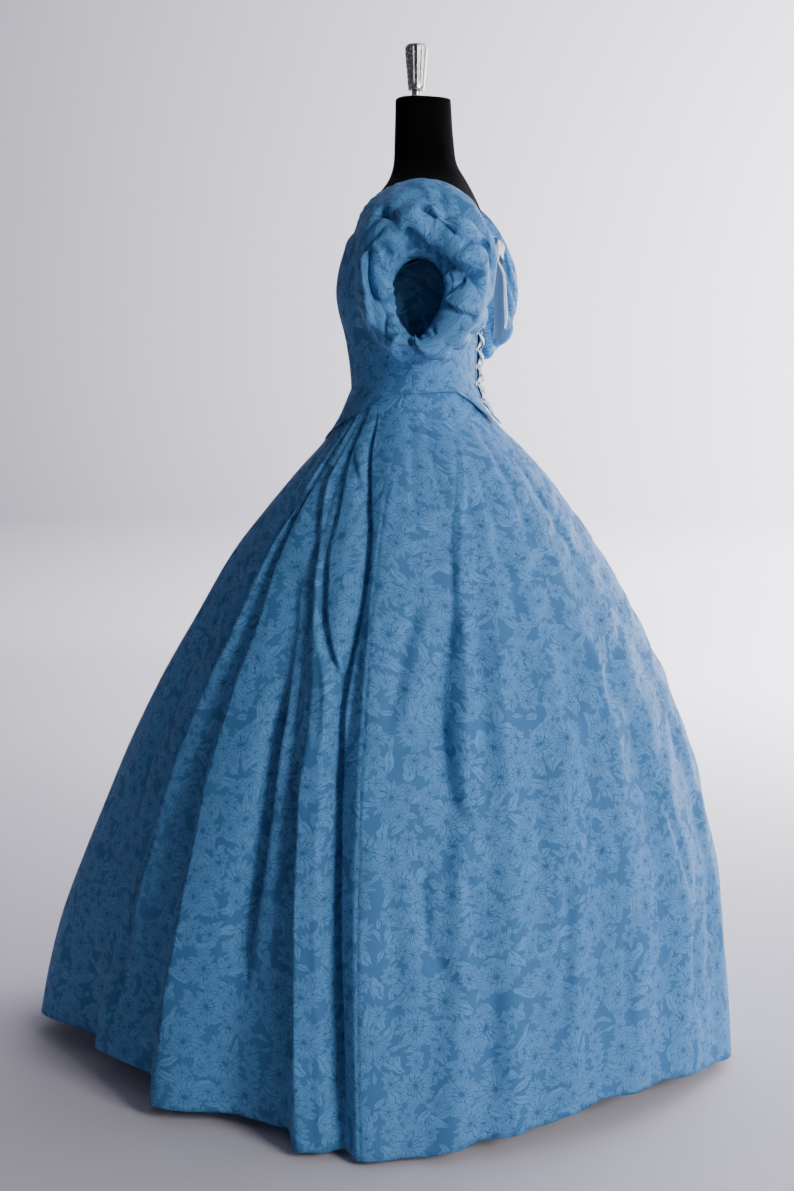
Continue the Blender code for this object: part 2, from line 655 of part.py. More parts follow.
def main():
    for old in list(bpy.data.objects):
        bpy.data.objects.remove(old, do_unlink=True)
    group = bpy.data.collections.new(COLLECTION)
    bpy.context.scene.collection.children.link(group)
    form_torso()
    turned("form_neck_cap", CAP_PROFILE, 12, silver_metal())
    turned("form_finial", FINIAL_PROFILE, 12, silver_metal())
    turned("form_base", BASE_PROFILE, 24, stand_metal())
    form_pole()
    waistband()
    for side, label in ((1, "left"), (-1, "right")):
        skirt_panel("skirt_front_" + label, FRONT_FOLDS, side)
        skirt_panel("skirt_back_" + label, BACK_FOLDS, side)
        bodice_back("bodice_back_" + label, side)
        sleeve("sleeve_" + label, side)
    bodice_front()
    eyelets()
    lace("lace_a", 1)
    lace("lace_b", -1)
    bow()


main()
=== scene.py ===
# Dressed scene of a steel-blue jacquard ball gown, laced at the back, on a black dress form.
# The gown faces -Y, the wearer's left side is +X, +Z is up and the stand rests on z = 0.
# Body angles are degrees round the stand's axis: 0 at the centre front, 90 at the wearer's left
# side, 180 at the centre back, negative over the right side.

from math import radians

import bpy
import numpy as np
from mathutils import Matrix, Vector


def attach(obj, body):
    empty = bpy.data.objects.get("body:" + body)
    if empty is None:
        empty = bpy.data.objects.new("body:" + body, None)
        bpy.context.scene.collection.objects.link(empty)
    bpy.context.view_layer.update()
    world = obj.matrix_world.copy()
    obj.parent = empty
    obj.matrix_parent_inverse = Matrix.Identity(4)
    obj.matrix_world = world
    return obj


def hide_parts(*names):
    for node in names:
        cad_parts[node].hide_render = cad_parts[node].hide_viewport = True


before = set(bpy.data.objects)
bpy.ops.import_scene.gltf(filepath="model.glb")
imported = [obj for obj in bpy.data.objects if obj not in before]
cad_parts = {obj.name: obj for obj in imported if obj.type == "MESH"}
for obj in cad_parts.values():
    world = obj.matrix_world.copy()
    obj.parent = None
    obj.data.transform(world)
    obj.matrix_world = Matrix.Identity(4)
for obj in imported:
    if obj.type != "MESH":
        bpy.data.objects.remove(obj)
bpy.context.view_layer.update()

# Camera, worked out from the photograph: its height, its distance from the stand's axis, its
# downward pitch, its azimuth round the gown, and how far the axis stands right of the middle.
CAMERA_HEIGHT = 1.060
CAMERA_DISTANCE = 2.650
CAMERA_PITCH = 6.9
CAMERA_AZIMUTH = 100.0
CAMERA_OFFSET = 0.030
CAMERA_LENS = 50.0


def add_camera():
    """Camera on the gown's left, a little behind it, level with the waist and looking down."""
    data = bpy.data.cameras.new("photo_camera")
    data.lens = CAMERA_LENS
    data.sensor_width = 36.0
    camera = bpy.data.objects.new("photo_camera", data)
    bpy.context.scene.collection.objects.link(camera)
    azimuth = radians(CAMERA_AZIMUTH)
    right = np.array([np.cos(azimuth), np.sin(azimuth)])
    ahead = np.array([-np.sin(azimuth), np.cos(azimuth)])
    spot = -CAMERA_OFFSET * right - CAMERA_DISTANCE * ahead
    camera.location = (spot[0], spot[1], CAMERA_HEIGHT)
    camera.rotation_euler = (radians(90.0 - CAMERA_PITCH), 0.0, azimuth)
    bpy.context.scene.camera = camera


# Sizes shared with the solids, in metres.
WAIST = 1.070
HIP = 0.860
KNEE = 0.500
FOLD_FOOT = 0.020
SKIRT_TOP = 1.0697
NECK_TOP = 1.5155
FORM_BOTTOM = 0.838
SKIRT_OVER_FORM = 0.0036
BODICE_OVER_SKIRT = 0.0025
MORE_BELOW_WAIST = 0.0008
CLOTH = 0.0011
RIBBON = 0.0004
SKIRT_ROWS = 150
BODICE_ROWS = 76
SLEEVE_ROWS = 124
SLEEVE_COLUMNS = 288
RIBBON_COLUMNS = 9
TURN_MM = 1.6
RING_MM = 26.0
SIDE_SEAM = 96.5
LACING_HALF_GAP = 0.015
ARMHOLE_FRONT = 58.3
ARMHOLE_BACK = 126.6
SEAM_GAP = 0.0003
EYELET_PAIRS = 11
EYELET_TOP = 1.290
EYELET_PITCH = 0.0265
EYELET_X = 0.0235
LACE_X = 0.0195
LACE_START = -0.232
BOW_HEIGHT = 1.298
BOW_STANDOFF = 0.0068
BOW_WIDTH = 0.026
BOW_REACH = 0.040
TAIL_LEFT = 0.150
TAIL_RIGHT = 0.132
KNOT_HALF = (0.0090, 0.0055, 0.0085)
BUST_ANGLE = 28.0
BUST_SPREAD = 17.0
BUST_HEIGHT = 1.215
BUST_DROP = 0.050
BUST_SWELL = 0.007
POINT_ANGLE = 163.0
POINT_SPREAD = 12.0
POINT_LIFT = 0.0055
POINT_REACH = 0.022

# Small shapes of the cloth, as heights, widths and lengths in metres: the groove of a seam, the
# puckers beside it, the slow waves of the skirt and the puff, where those of the skirt set in, the
# stitching and the roll of an edge, and the sleeve's gathers with their count.
SEAM_DEPTH, SEAM_WIDTH = 0.0016, 0.0035
PUCKER_HEIGHT, PUCKER_WIDTH, PUCKER_LENGTHS = 0.0011, 0.012, (0.022, 0.045)
SKIRT_WAVE, SKIRT_WAVE_LENGTHS = 0.0016, (0.05, 0.16)
PUFF_WAVE, PUFF_WAVE_LENGTHS = 0.0014, (0.035, 0.10)
FREE_BELOW, FREE_WITHIN = 1.0, 0.12
STITCH_DEPTH, STITCH_IN, STITCH_WIDTH = 0.0010, 0.0065, 0.0016
ROLL_HEIGHT, ROLL_WIDTH = 0.0006, 0.004
CUFF_GATHERS, CUFF_GATHER = 23, 0.0014
ARMHOLE_GATHERS, ARMHOLE_GATHER = 34, 0.0011
# The puff: how much deeper its troughs are than their table says, how far its ridges lean over
# toward the cuff as a share of their height, the radius and the ring spacing that its waves are
# measured on, how far the last rings move in at their top, and how much they narrow underneath.
TROUGH_GAIN = 1.2
ROLL_LEAN = 1.25
PUFF_RADIUS, RING_PITCH = 0.09, 0.028
CUFF_TILT, CUFF_POINT = 0.010, 0.55
# The sleeve's inner edge: how far it lies under the bodice's upper edge, and off its cloth.
ARMHOLE_DROP, ARMHOLE_OFF = 0.002, 0.0016
# The laces: how far they lie over the bodice at an eyelet and how much more between two of them,
# how far one passes over or under the other, and their width at an eyelet and how much more
# between two.
LACE_LIFT, LACE_ARCH, LACE_CROSSING = 0.0016, 0.0040, 0.0018
LACE_PINCHED, LACE_OPENED = 0.0045, 0.0055
# The bow's loops: how far they lie behind the knot's middle, arch back, open and part at their
# ends; their slope and how fast it grows; their width at the knot as a share, and how far from it
# they are at full width.
LOOP_BACK, LOOP_ARCH, LOOP_OPEN, LOOP_PART = 0.0005, 0.0075, 0.0065, 0.0012
LOOP_SLOPE, LOOP_SAG = 0.34, 5.0
LOOP_PINCH, LOOP_FULL = 0.35, 0.02
# The bow's tails: where they start beside the knot, how far they spread and sway sideways, and
# how far they start under it, bend, ripple, pass each other and stand away from the laces.
TAIL_START, TAIL_SPREAD, TAIL_SWAY = 0.0035, 0.018, 0.003
TAIL_UNDER, TAIL_BEND, TAIL_RIPPLE, TAIL_PASSING, TAIL_AWAY = 0.0010, 0.006, 0.0015, 0.0004, 0.007
TAIL_PINCH = 0.25
# Degrees of hip angle from column to column of the skirt, finer on the side that the photograph
# shows, and the places of the columns beside a seam.
COLUMN_STEP = {1: 0.42, -1: 0.6}
NEAR_SEAM = np.array([0.0, 0.15, 0.35, 0.6, 0.95, 1.4])
# How much the wearer's right side differs: fold angle, crease angle, crease height, puff stroke
# in degrees or metres, and the right puff's place.
OTHER_FOLD, OTHER_CREASE, OTHER_HEIGHT, OTHER_STROKE = 1.2, 1.2, 0.012, 3.0
RIGHT_PUFF_SHIFT = np.array([0.0, -0.010, -0.006])
# Sizes of the woven motifs' cells, in metres: flower, bud, large leaf and small leaf.
FLOWER, BUD, LARGE_LEAF, SMALL_LEAF = 0.068, 0.036, 0.040, 0.024
FULL_TURN = 6.28
# The room in metres: the floor's radius, the radius of the sweep between floor and wall, and the
# wall's upper edge.
FLOOR_RADIUS, SWEEP, WALL_TOP = 4.2, 1.3, 6.0


def table(columns, rows):
    """Named columns of a short table, each one as an array."""
    return dict(zip(columns.split(), np.array(rows, float).T))


# Sections of the form's torso and neck, as radii from the axis; square is the oval's exponent.
FORM = table("height front back side square", [
    (FORM_BOTTOM, 0.08, 0.085, 0.13, 2),
    (0.846, 0.094, 0.1, 0.148, 2),
    (0.87, 0.102, 0.11, 0.16, 2),
    (0.95, 0.104, 0.114, 0.16, 2),
    (1, 0.1, 0.107, 0.142, 2),
    (1.065, 0.0955, 0.0953, 0.1192, 2),
    (1.1, 0.0975, 0.0942, 0.122, 2),
    (1.146, 0.1025, 0.0947, 0.132, 2.1),
    (1.19, 0.1085, 0.0972, 0.1415, 2.2),
    (1.226, 0.1105, 0.102, 0.1455, 2.2),
    (1.26, 0.1078, 0.1066, 0.15, 2.2),
    (1.3, 0.0965, 0.109, 0.1565, 2.2),
    (1.33, 0.082, 0.106, 0.158, 2.2),
    (1.352, 0.067, 0.099, 0.145, 2.2),
    (1.372, 0.051, 0.09, 0.113, 2.2),
    (1.392, 0.041, 0.079, 0.076, 2.1),
    (1.417, 0.035, 0.0645, 0.051, 2),
    (1.45, 0.0335, 0.059, 0.0465, 2),
    (NECK_TOP, 0.032, 0.054, 0.043, 2),
])

# Bell of the skirt without its folds, as radii from the axis.
BELL = table("height front back side", [
    (0, 0.648, 0.519, 0.483),
    (0.119, 0.624, 0.5105, 0.477),
    (0.201, 0.6, 0.503, 0.471),
    (0.299, 0.562, 0.492, 0.4625),
    (0.406, 0.515, 0.469, 0.4425),
    (0.51, 0.469, 0.441, 0.4175),
    (0.614, 0.415, 0.401, 0.381),
    (0.704, 0.361, 0.358, 0.3415),
    (0.817, 0.292, 0.294, 0.2915),
    (0.883, 0.24, 0.248, 0.2535),
    (0.94, 0.19, 0.204, 0.2165),
    (0.982, 0.15, 0.165, 0.183),
    (1.005, 0.131, 0.14, 0.16),
    (1.03, 0.116, 0.116, 0.14),
    (1.07, 0.0992, 0.0989, 0.1229),
])

# Lines along the folds of the skirt, from the centre front to the side seam and on to the centre
# back: the angle at waist, hip, knee and hem, how far in the cloth lies there in millimetres
# (negative is out), and the height of the hem.
FRONT_FOLDS = table("waist hip knee hem in_waist in_hip in_knee in_hem rise", [
    (0, 0, 0, 0, 0, 3, 8, 12, 0.04),
    (12, 9, 8, 8, 0, 0, 0, 0, 0.036),
    (46, 42.5, 36, 21, 0.5, 8, 28, 60, 0.042),
    (50, 48.5, 40.5, 29, 0, 0, 6, 32, 0.046),
    (52.5, 50.8, 48, 41, 0.5, 10, 32, 50, 0.038),
    (55.5, 53.5, 52.5, 50.5, 0, 0, 0, -6, 0.024),
    (60, 62, 67, 64, 0.5, 6, 24, 48, 0.022),
    (63, 66.5, 72.5, 74.5, 0.5, 10, 25, 44, 0.02),
    (66, 70, 76, 79.5, 0, 0, 0, -4, 0.012),
    (70, 77, 80, 83, 0, 0, 2, 4, 0.012),
    (76, 84, 84.5, 86.8, 0.5, 9, 16, 24, 0.013),
    (90, 88.3, 89, 90.3, 0, 0, -5, -4, 0.01),
])
BACK_FOLDS = table("waist hip knee hem in_waist in_hip in_knee in_hem rise", [
    (90, 88.3, 89, 90.3, 0, 0, -5, -4, 0.01),
    (108, 109.5, 105.5, 101, 0, 6, 9, 5, 0.012),
    (119, 114, 109, 106.5, 0, 0, -3, -2, 0.02),
    (124, 118.5, 113.5, 111, 0, 3, 5, 6, 0.026),
    (128, 123, 118, 116.5, 0, 0, -3, -4, 0.03),
    (133, 128, 124, 122.5, 0, 3, 5, 7, 0.034),
    (138, 133, 130.5, 129, 0, 0, -3, -4, 0.044),
    (143, 139, 137.5, 136, 0, 3, 6, 8, 0.05),
    (149, 146, 144.5, 143.5, 0, 0, -4, -4, 0.05),
    (155, 152.5, 152, 151.5, 0, 2, 5, 7, 0.046),
    (161, 159.5, 159.5, 160, 0, 0, -3, -3, 0.038),
    (167, 167, 167.5, 168, 0, 2, 4, 6, 0.027),
    (173, 173.5, 174, 174.5, 0, 0, -2, -2, 0.018),
    (180, 180, 180, 180, 0, 1, 2, 3, 0.012),
])

# Lower and upper edge of the bodice.
LOWER_EDGE = table("angle height", [
    (0, 0.988), (25, 1.005), (48, 1.025), (74, 1.05), (95, 1.063), (131, 1.066), (147, 1.05),
    (167, 1.018), (180, 1.01),
])
UPPER_EDGE = table("angle height", [
    (0, 1.285), (25, 1.289), (45, 1.298), (ARMHOLE_FRONT, 1.306), (66.7, 1.281), (75, 1.262),
    (91.7, 1.25), (108.9, 1.268), (117.7, 1.285), (ARMHOLE_BACK, 1.311), (140, 1.308), (180, 1.3),
])

# Free edge of the left sleeve over the shoulder; turn is degrees round the arm, from the top (0)
# over the back (90) and the underarm (180) to the front (270).
SHOULDER_EDGE = table("turn x y z", [
    (-65, 0.119, -0.055, 1.343),
    (-30, 0.111, -0.025, 1.368),
    (0, 0.108, 0.014, 1.38),
    (35, 0.111, 0.055, 1.379),
    (70, 0.12, 0.086, 1.356),
])
UNDERARM = table("turn angle", [
    (100, ARMHOLE_BACK), (120, 117.7), (150, 104), (180, 91.7), (210, 79), (240, 66.7),
    (262, ARMHOLE_FRONT),
])

# Rings of the left sleeve from the armhole to the cuff: x at the top and at the bottom, the
# middle in y, the top and the bottom in z, and half of the depth in y.
PUFF = table("x_top x_low mid_y top low depth", [
    (0.132, 0.164, 0.027, 1.379, 1.222, 0.094),
    (0.158, 0.168, 0.035, 1.376, 1.168, 0.102),
    (0.185, 0.18, 0.042, 1.369, 1.122, 0.1065),
    (0.206, 0.2, 0.046, 1.36, 1.106, 0.1065),
    (0.222, 0.222, 0.047, 1.336, 1.108, 0.099),
    (0.252, 0.246, 0.046, 1.334, 1.116, 0.095),
    (0.27, 0.262, 0.044, 1.315, 1.127, 0.078),
    (0.268, 0.262, 0.043, 1.287, 1.133, 0.06),
    (0.26, 0.256, 0.042, 1.264, 1.138, 0.047),
    (0.248, 0.246, 0.042, 1.256, 1.142, 0.042),
])

# Finer creases of the left half of the skirt: angle and height at three places down the crease,
# its half width in millimetres, its skew (how much narrower it is toward the back than toward the
# front) and its depth in millimetres (a negative depth is a ridge).
SKIRT_CREASES = table("angle_a height_a angle_b height_b angle_c height_c width skew depth", [
    (72.5, 1.045, 84.8, 0.851, 84.2, 0.7, 5, 0.6, 15),
    (84.8, 0.77, 82.6, 0.63, 84.6, 0.48, 8, 0.5, 20),
    (83.2, 0.6, 85.2, 0.32, 87, 0.005, 8, 0.5, 24),
    (60.5, 1.035, 69.8, 0.913, 71.5, 0.81, 6, 0.4, 10),
    (71, 0.85, 75.2, 0.738, 83.6, 0.625, 7, 0.3, 15),
    (66, 0.985, 76, 0.935, 84, 0.865, 5, 0.4, 6), (58, 0.99, 66.5, 0.86, 72.7, 0.737, 5, 0, -5),
    (71, 0.76, 78.5, 0.66, 80.7, 0.54, 6, 0, -5), (52, 0.985, 64.7, 0.847, 72, 0.7, 10, 0.3, 7),
    (70.5, 0.75, 74.3, 0.62, 74.6, 0.49, 12, 0.4, 8),
    (74, 0.6, 76.1, 0.36, 77.4, 0.06, 13, 0.6, 20),
    (67, 0.68, 67.6, 0.46, 64.7, 0.19, 13, 0.6, 27),
    (69.5, 0.63, 70.5, 0.44, 68, 0.21, 14, 0, -6), (52.4, 0.97, 53.6, 0.74, 52, 0.48, 6, 0.7, 18),
    (52.2, 0.56, 51.3, 0.28, 48, 0.005, 9, 0.7, 25),
    (50.4, 0.94, 43.8, 0.75, 40.4, 0.52, 6, 0.7, 18),
    (40.9, 0.6, 36.6, 0.34, 31.5, 0.03, 10, 0.7, 24),
    (62, 0.82, 65.5, 0.7, 67.6, 0.52, 12, 0.4, 7),
    (121, 1.01, 111.3, 0.866, 109.2, 0.72, 4, 0.3, 2.5),
    (110.6, 0.78, 105.5, 0.64, 105.5, 0.52, 13, 0.3, 12),
    (124, 1.01, 113.4, 0.85, 109.8, 0.7, 4, 0, -2.2),
    (101, 0.78, 96.5, 0.7, 93.3, 0.57, 13, 0, 8), (116, 0.76, 114.5, 0.68, 113.6, 0.56, 7, 0, 4),
    (106.2, 0.63, 105.5, 0.53, 111.4, 0.43, 14, 0.2, 11),
    (108, 0.43, 110, 0.35, 111, 0.27, 9, 0, 6), (100.5, 0.43, 101.5, 0.32, 107, 0.23, 12, 0, 7),
    (114.6, 0.26, 113, 0.17, 114.5, 0.06, 12, 0, 6),
    (125.5, 0.5, 124.5, 0.45, 123.2, 0.37, 9, 0, 4),
    (130, 0.42, 128, 0.28, 126.5, 0.12, 11, 0.2, 8), (134, 0.48, 136, 0.43, 139, 0.36, 9, 0, 4),
    (152, 0.54, 159, 0.42, 161.5, 0.29, 9, 0, 6),
    (141.6, 0.32, 141.5, 0.23, 142.3, 0.12, 9, 0, 6),
    (162.7, 0.28, 161.5, 0.19, 164.8, 0.07, 9, 0, 4), (94, 0.43, 96, 0.3, 95, 0.15, 12, 0, 4),
    (147.5, 0.73, 146, 0.61, 144.5, 0.49, 10, 0, -4),
    (153, 0.62, 153.5, 0.4, 153, 0.17, 16, 0, 6), (170, 0.65, 171, 0.4, 170.5, 0.13, 16, 0, 6),
    (140, 1.02, 140, 0.92, 141, 0.81, 7, 0, 2), (155, 0.99, 155, 0.88, 156, 0.75, 8, 0, 3),
    (127, 1.02, 126, 0.9, 126, 0.76, 8, 0, 2.5), (31, 0.91, 27, 0.62, 22, 0.3, 20, 0.3, 8),
    (20, 0.97, 17, 0.72, 15, 0.45, 15, 0.2, 7), (8, 0.92, 6.5, 0.6, 6, 0.2, 18, 0, 6),
    (48, 1.035, 46.5, 0.92, 45, 0.79, 5, 0.3, 4), (57, 1.035, 59.5, 0.96, 62, 0.87, 4, 0.2, 3),
    (96, 1.05, 98, 0.95, 99, 0.86, 6, 0, 2), (104, 1.05, 106.5, 0.97, 108.5, 0.9, 5, 0, 1.8),
    (38, 1.01, 34, 0.82, 31, 0.6, 8, 0.4, 6), (133, 0.72, 132.5, 0.6, 134, 0.48, 10, 0, -4),
    (120.5, 0.74, 118.5, 0.64, 117, 0.52, 9, 0, -4),
])

# Creases of the bodice, in the same way.
BODICE_CREASES = table("angle_a height_a angle_b height_b angle_c height_c width skew depth", [
    (70, 1.18, 90, 1.165, 112, 1.13, 4, 0, 1.6), (78, 1.14, 90, 1.128, 104, 1.105, 4, 0, 1.4),
    (72, 1.115, 84, 1.105, 96, 1.085, 3, 0, 1.2), (120, 1.17, 135, 1.15, 150, 1.115, 4, 0, 1.5),
    (118, 1.13, 132, 1.115, 146, 1.088, 3, 0, 1.3), (140, 1.245, 150, 1.22, 160, 1.19, 4, 0, 1.2),
    (30, 1.13, 44, 1.118, 58, 1.1, 4, 0, 1), (60, 1.205, 70, 1.19, 82, 1.16, 4, 0, 1.2),
])

# Turned pieces, as radius and height.
CAP_PROFILE = [
    (0.028, 1.5158), (0.0298, 1.5162), (0.0305, 1.517), (0.0302, 1.5182), (0.029, 1.519),
    (0.018, 1.5198), (0.01, 1.5205), (0.0078, 1.5216), (0.007, 1.523), (0.007, 1.5297),
]
FINIAL_PROFILE = [
    (0.0108, 1.53), (0.0119, 1.5304), (0.0126, 1.5314), (0.0129, 1.533), (0.0138, 1.545),
    (0.0158, 1.568), (0.0176, 1.59), (0.0177, 1.5935), (0.0172, 1.5965), (0.0158, 1.5988),
    (0.0125, 1.6005), (0.007, 1.6014), (0.001, 1.602),
]

FLUTED_FROM, FLUTED_TO = 1.533, 1.599

# Folds of the left puff, each a stroke on its surface: turn and ring at its two ends, half width
# and depth in millimetres (a negative depth is a ridge).
PUFF_FOLDS = table("turn_a ring_a turn_b ring_b width depth", [
    (6, 6.65, 19, 6.98, 5, 19), (34, 7.1, 44, 7.03, 4.5, 18), (59, 6.83, 60, 6.28, 5, 16),
    (60, 6.28, 63, 4.9, 5, 16), (19, 6.98, 34, 7.1, 5, 9), (44, 7.03, 59, 6.83, 5, 9),
    (63, 4.9, 77, 4.75, 5, 9), (-9, 7.6, 0, 8.3, 7, 12), (0, 8.3, 24, 9.05, 7, 12),
    (24, 9.05, 59, 8.45, 7, 12), (59, 8.45, 74, 7.83, 7, 12), (-38, 4.5, -25, 6.85, 6, 18),
    (-27, 7.05, -45, 7.03, 6, 9), (-45, 7.03, -63, 6.4, 6, 9), (-65, 7, -99, 7.75, 6, 19),
    (-66, 7.93, -61, 8.65, 4, 7), (-69, 6.2, -109, 4.5, 8, 5), (79, 8.05, 93, 6.1, 10, 24),
    (93, 8.97, 118, 7.2, 4, 6), (118, 7.2, 122, 6.12, 4, 6), (66, 8.6, 85, 8.62, 5, 6),
    (128, 9.5, 145, 8.05, 4, 5), (-159, 9.62, -172, 7.58, 5, 10), (-172, 7.58, -180, 5.6, 5, 10),
    (-94, 9.85, -122, 9.85, 4, 6), (-122, 9.85, -154, 9.8, 4, 6), (-119, 8.28, -147, 6.35, 4, 6),
    (-6, 4.08, 0, 4.53, 10, 4), (0, 4.53, 12, 6, 10, 4), (13, 4.17, 29, 6.6, 14, 8),
    (-37, 7.62, -20, 7.2, 15, -12), (-20, 7.2, 1, 7.08, 15, -12), (1, 7.08, 20, 7.58, 15, -12),
    (20, 7.58, 48, 7.53, 15, -12), (48, 7.53, 71, 6.78, 15, -12), (71, 6.78, 81, 6.08, 15, -12),
    (13, 6.5, 24, 6.93, 3.5, -5), (56, 6.43, 56, 4.85, 5, -6), (56, 4.85, 66, 4.55, 5, -6),
    (-76, 6.68, -98, 6.93, 9, -10), (-98, 6.93, -124, 6.3, 9, -10), (-56, 7.58, -75, 8.1, 7, -7),
    (-75, 8.1, -98, 8.62, 7, -7), (-64, 8.95, -95, 9.28, 5, -6), (-95, 9.28, -131, 8.03, 5, -6),
    (-146, 7.55, -158, 5.83, 8, -8), (-158, 5.83, -162, 4.65, 8, -8), (78, 6.65, 84, 5.78, 6, 8),
    (99, 8.03, 112, 6.73, 12, -9), (179, 8.25, 172, 6.45, 13, -7), (-48, 4.42, -61, 4.25, 10, -6),
    (42, 6.33, 52, 4.6, 12, -5), (-19, 4.35, -30, 4.65, 12, -3), (110, 4.6, 118, 2, 7, 7),
    (132, 5.2, 140, 2.4, 7, 7), (153, 5, 158, 2.2, 7, 8), (172, 4.6, 176, 2, 6, 8),
    (-170, 4.6, -168, 2, 6, 8), (-150, 4.8, -146, 2.2, 7, 7), (-130, 4.6, -126, 2, 7, 7),
    (-112, 4, -104, 1.8, 8, 6), (-86, 3.6, -80, 1.6, 8, 5), (96, 3.8, 100, 1.6, 8, 5),
    (74, 3.2, 78, 1.4, 8, 4),
])


def curve_through(x, stations, values):
    """Smooth curve through the stations (cubic Hermite with mean slopes), read at x."""
    stations, values = np.asarray(stations, float), np.asarray(values, float)
    spread = (1,) * (values.ndim - 1)
    steps = np.diff(values, axis=0) / np.diff(stations).reshape(-1, *spread)
    slopes = np.concatenate((steps[:1], (steps[1:] + steps[:-1]) / 2, steps[-1:]))
    x = np.clip(x, stations[0], stations[-1])
    k = np.clip(np.searchsorted(stations, x, side="right") - 1, 0, len(stations) - 2)
    width = (stations[k + 1] - stations[k]).reshape(np.shape(x) + spread)
    t = (x - stations[k]).reshape(np.shape(x) + spread) / width
    return ((2 * t**3 - 3 * t**2 + 1) * values[k] + (t**3 - 2 * t**2 + t) * width * slopes[k]
            + (3 * t**2 - 2 * t**3) * values[k + 1] + (t**3 - t**2) * width * slopes[k + 1])


def oval(angle, front, back, side, square):
    """Radius of an oval: (|sin a / side|^n + |cos a / depth|^n)^(-1/n)."""
    across = np.abs(np.sin(np.radians(angle))) / side
    ahead = np.cos(np.radians(angle))
    along = np.abs(ahead) / np.where(ahead > 0, front, back)
    return (across**square + along**square) ** (-1 / square)


def form_radius(angle, height):
    """Radius of the form: ovals through its sections, plus the bust's swell exp(-(a^2 + h^2))."""
    section = [curve_through(height, FORM["height"], FORM[c])
               for c in ("front", "back", "side", "square")]
    swell = BUST_SWELL * np.exp(-((np.abs(angle) - BUST_ANGLE) / BUST_SPREAD)**2
                                - ((height - BUST_HEIGHT) / BUST_DROP)**2)
    return oval(angle, *section) + swell


def bell_radius(angle, height):
    """Radius of the skirt's bell without folds; its plan grows pointed toward the hem."""
    section = [curve_through(height, BELL["height"], BELL[c]) for c in ("front", "back", "side")]
    drop = 1 - height / WAIST
    square = np.where(np.cos(np.radians(angle)) > 0, 2 - 0.3 * drop, 2 - 0.4 * drop)
    return oval(angle, *section, square)


def bodice_radius(angle, height):
    """Radius of the bodice: over the form above the waist, over the skirt's bell below it, with
    a little more room there."""
    clear = MORE_BELOW_WAIST * np.clip((WAIST - height) / 0.01, 0, 1)
    under = np.where(height < WAIST, bell_radius(angle, height) + clear,
                     form_radius(angle, height) + SKIRT_OVER_FORM)
    return under + BODICE_OVER_SKIRT


def around(angle, radius, height):
    """Points at body angles: (r sin a, -r cos a, z)."""
    a = np.radians(angle)
    return np.stack(np.broadcast_arrays(radius * np.sin(a), -radius * np.cos(a), height), axis=-1)


def lathed(radius, height, a):
    """Points of a turned surface at angles a: (r cos a, r sin a, z)."""
    return np.stack(np.broadcast_arrays(radius * np.cos(a), radius * np.sin(a), height), axis=-1)


def unit(vectors):
    """Vectors of length 1."""
    return vectors / np.maximum(np.linalg.norm(vectors, axis=-1, keepdims=True), 1e-12)


def grid_normals(points, closed):
    """Unit normals of a grid of points, as (along a row) x (along a column)."""
    if closed:
        along = np.roll(points, -1, axis=1) - np.roll(points, 1, axis=1)
    else:
        along = np.gradient(points, axis=1)
    return unit(np.cross(along, np.gradient(points, axis=0)))


def waves(seed, x, y, lengths, count=7):
    """Soft uneven waves in -1 to 1: a mean of sines of random direction, phase and length."""
    rng = np.random.default_rng(seed)
    total = 0.0
    for _ in range(count):
        length = rng.uniform(*lengths)
        turn, phase = rng.uniform(-0.5, 0.5), rng.uniform(0, 2 * np.pi)
        total = total + np.sin(2 * np.pi * (x * np.cos(turn) + y * np.sin(turn)) / length + phase)
    return total / count ** 0.5


def cloth_lengths(points, start):
    """UV in metres on the cloth: length along each row from the start column, and the mean
    length along the columns."""
    across = np.linalg.norm(np.diff(points, axis=1), axis=2)
    u = np.concatenate((np.zeros((len(points), 1)), np.cumsum(across, axis=1)), axis=1)
    up = np.linalg.norm(np.diff(points, axis=0), axis=2).mean(axis=1)
    v = np.concatenate(([0.0], np.cumsum(up)))[:, None] * np.ones_like(u)
    return np.stack((u - u[:, start, None], v), axis=-1)


def grid_object(name, points, finish, uv=None, closed=False, ends=False, flip=False,
                thickness=None):
    """Object from a grid of points (rows x columns), with its UV map and its cloth thickness;
    closed joins the last column to the first, and ends covers the first and last rows."""
    rows, columns = points.shape[:2]
    index = np.arange(rows * columns).reshape(rows, columns)
    if closed:
        index = np.concatenate((index, index[:, :1]), axis=1)
    quads = np.stack((index[:-1, :-1], index[:-1, 1:], index[1:, 1:], index[1:, :-1]), axis=-1)
    faces = quads.reshape(-1, 4).tolist()
    if ends:
        faces += [list(range(columns))[::-1], list(range((rows - 1) * columns, rows * columns))]
    if flip:
        faces = [face[::-1] for face in faces]
    mesh = bpy.data.meshes.new(name)
    mesh.from_pydata(points.reshape(-1, 3).tolist(), [], faces)
    if uv is not None:
        if closed:
            step_on = np.linalg.norm(points[:, 0] - points[:, -1], axis=1)
            last = uv[:, -1:] + np.stack((step_on, 0 * step_on), axis=-1)[:, None]
            uv = np.concatenate((uv, last), axis=1)
        corners = np.stack((uv[:-1, :-1], uv[:-1, 1:], uv[1:, 1:], uv[1:, :-1]), axis=2)
        corners = corners[:, :, ::-1] if flip else corners
        values = np.zeros((len(mesh.loops), 2))
        values[:corners.size // 2] = corners.reshape(-1, 2)
        mesh.uv_layers.new(name="cloth").data.foreach_set("uv", values.ravel())
    mesh.materials.append(finish)
    mesh.shade_smooth()
    made = bpy.data.objects.new(name, mesh)
    bpy.context.scene.collection.objects.link(made)
    if thickness:
        shell = made.modifiers.new("thickness", "SOLIDIFY")
        shell.thickness = thickness
        shell.offset = -1.0
    return made


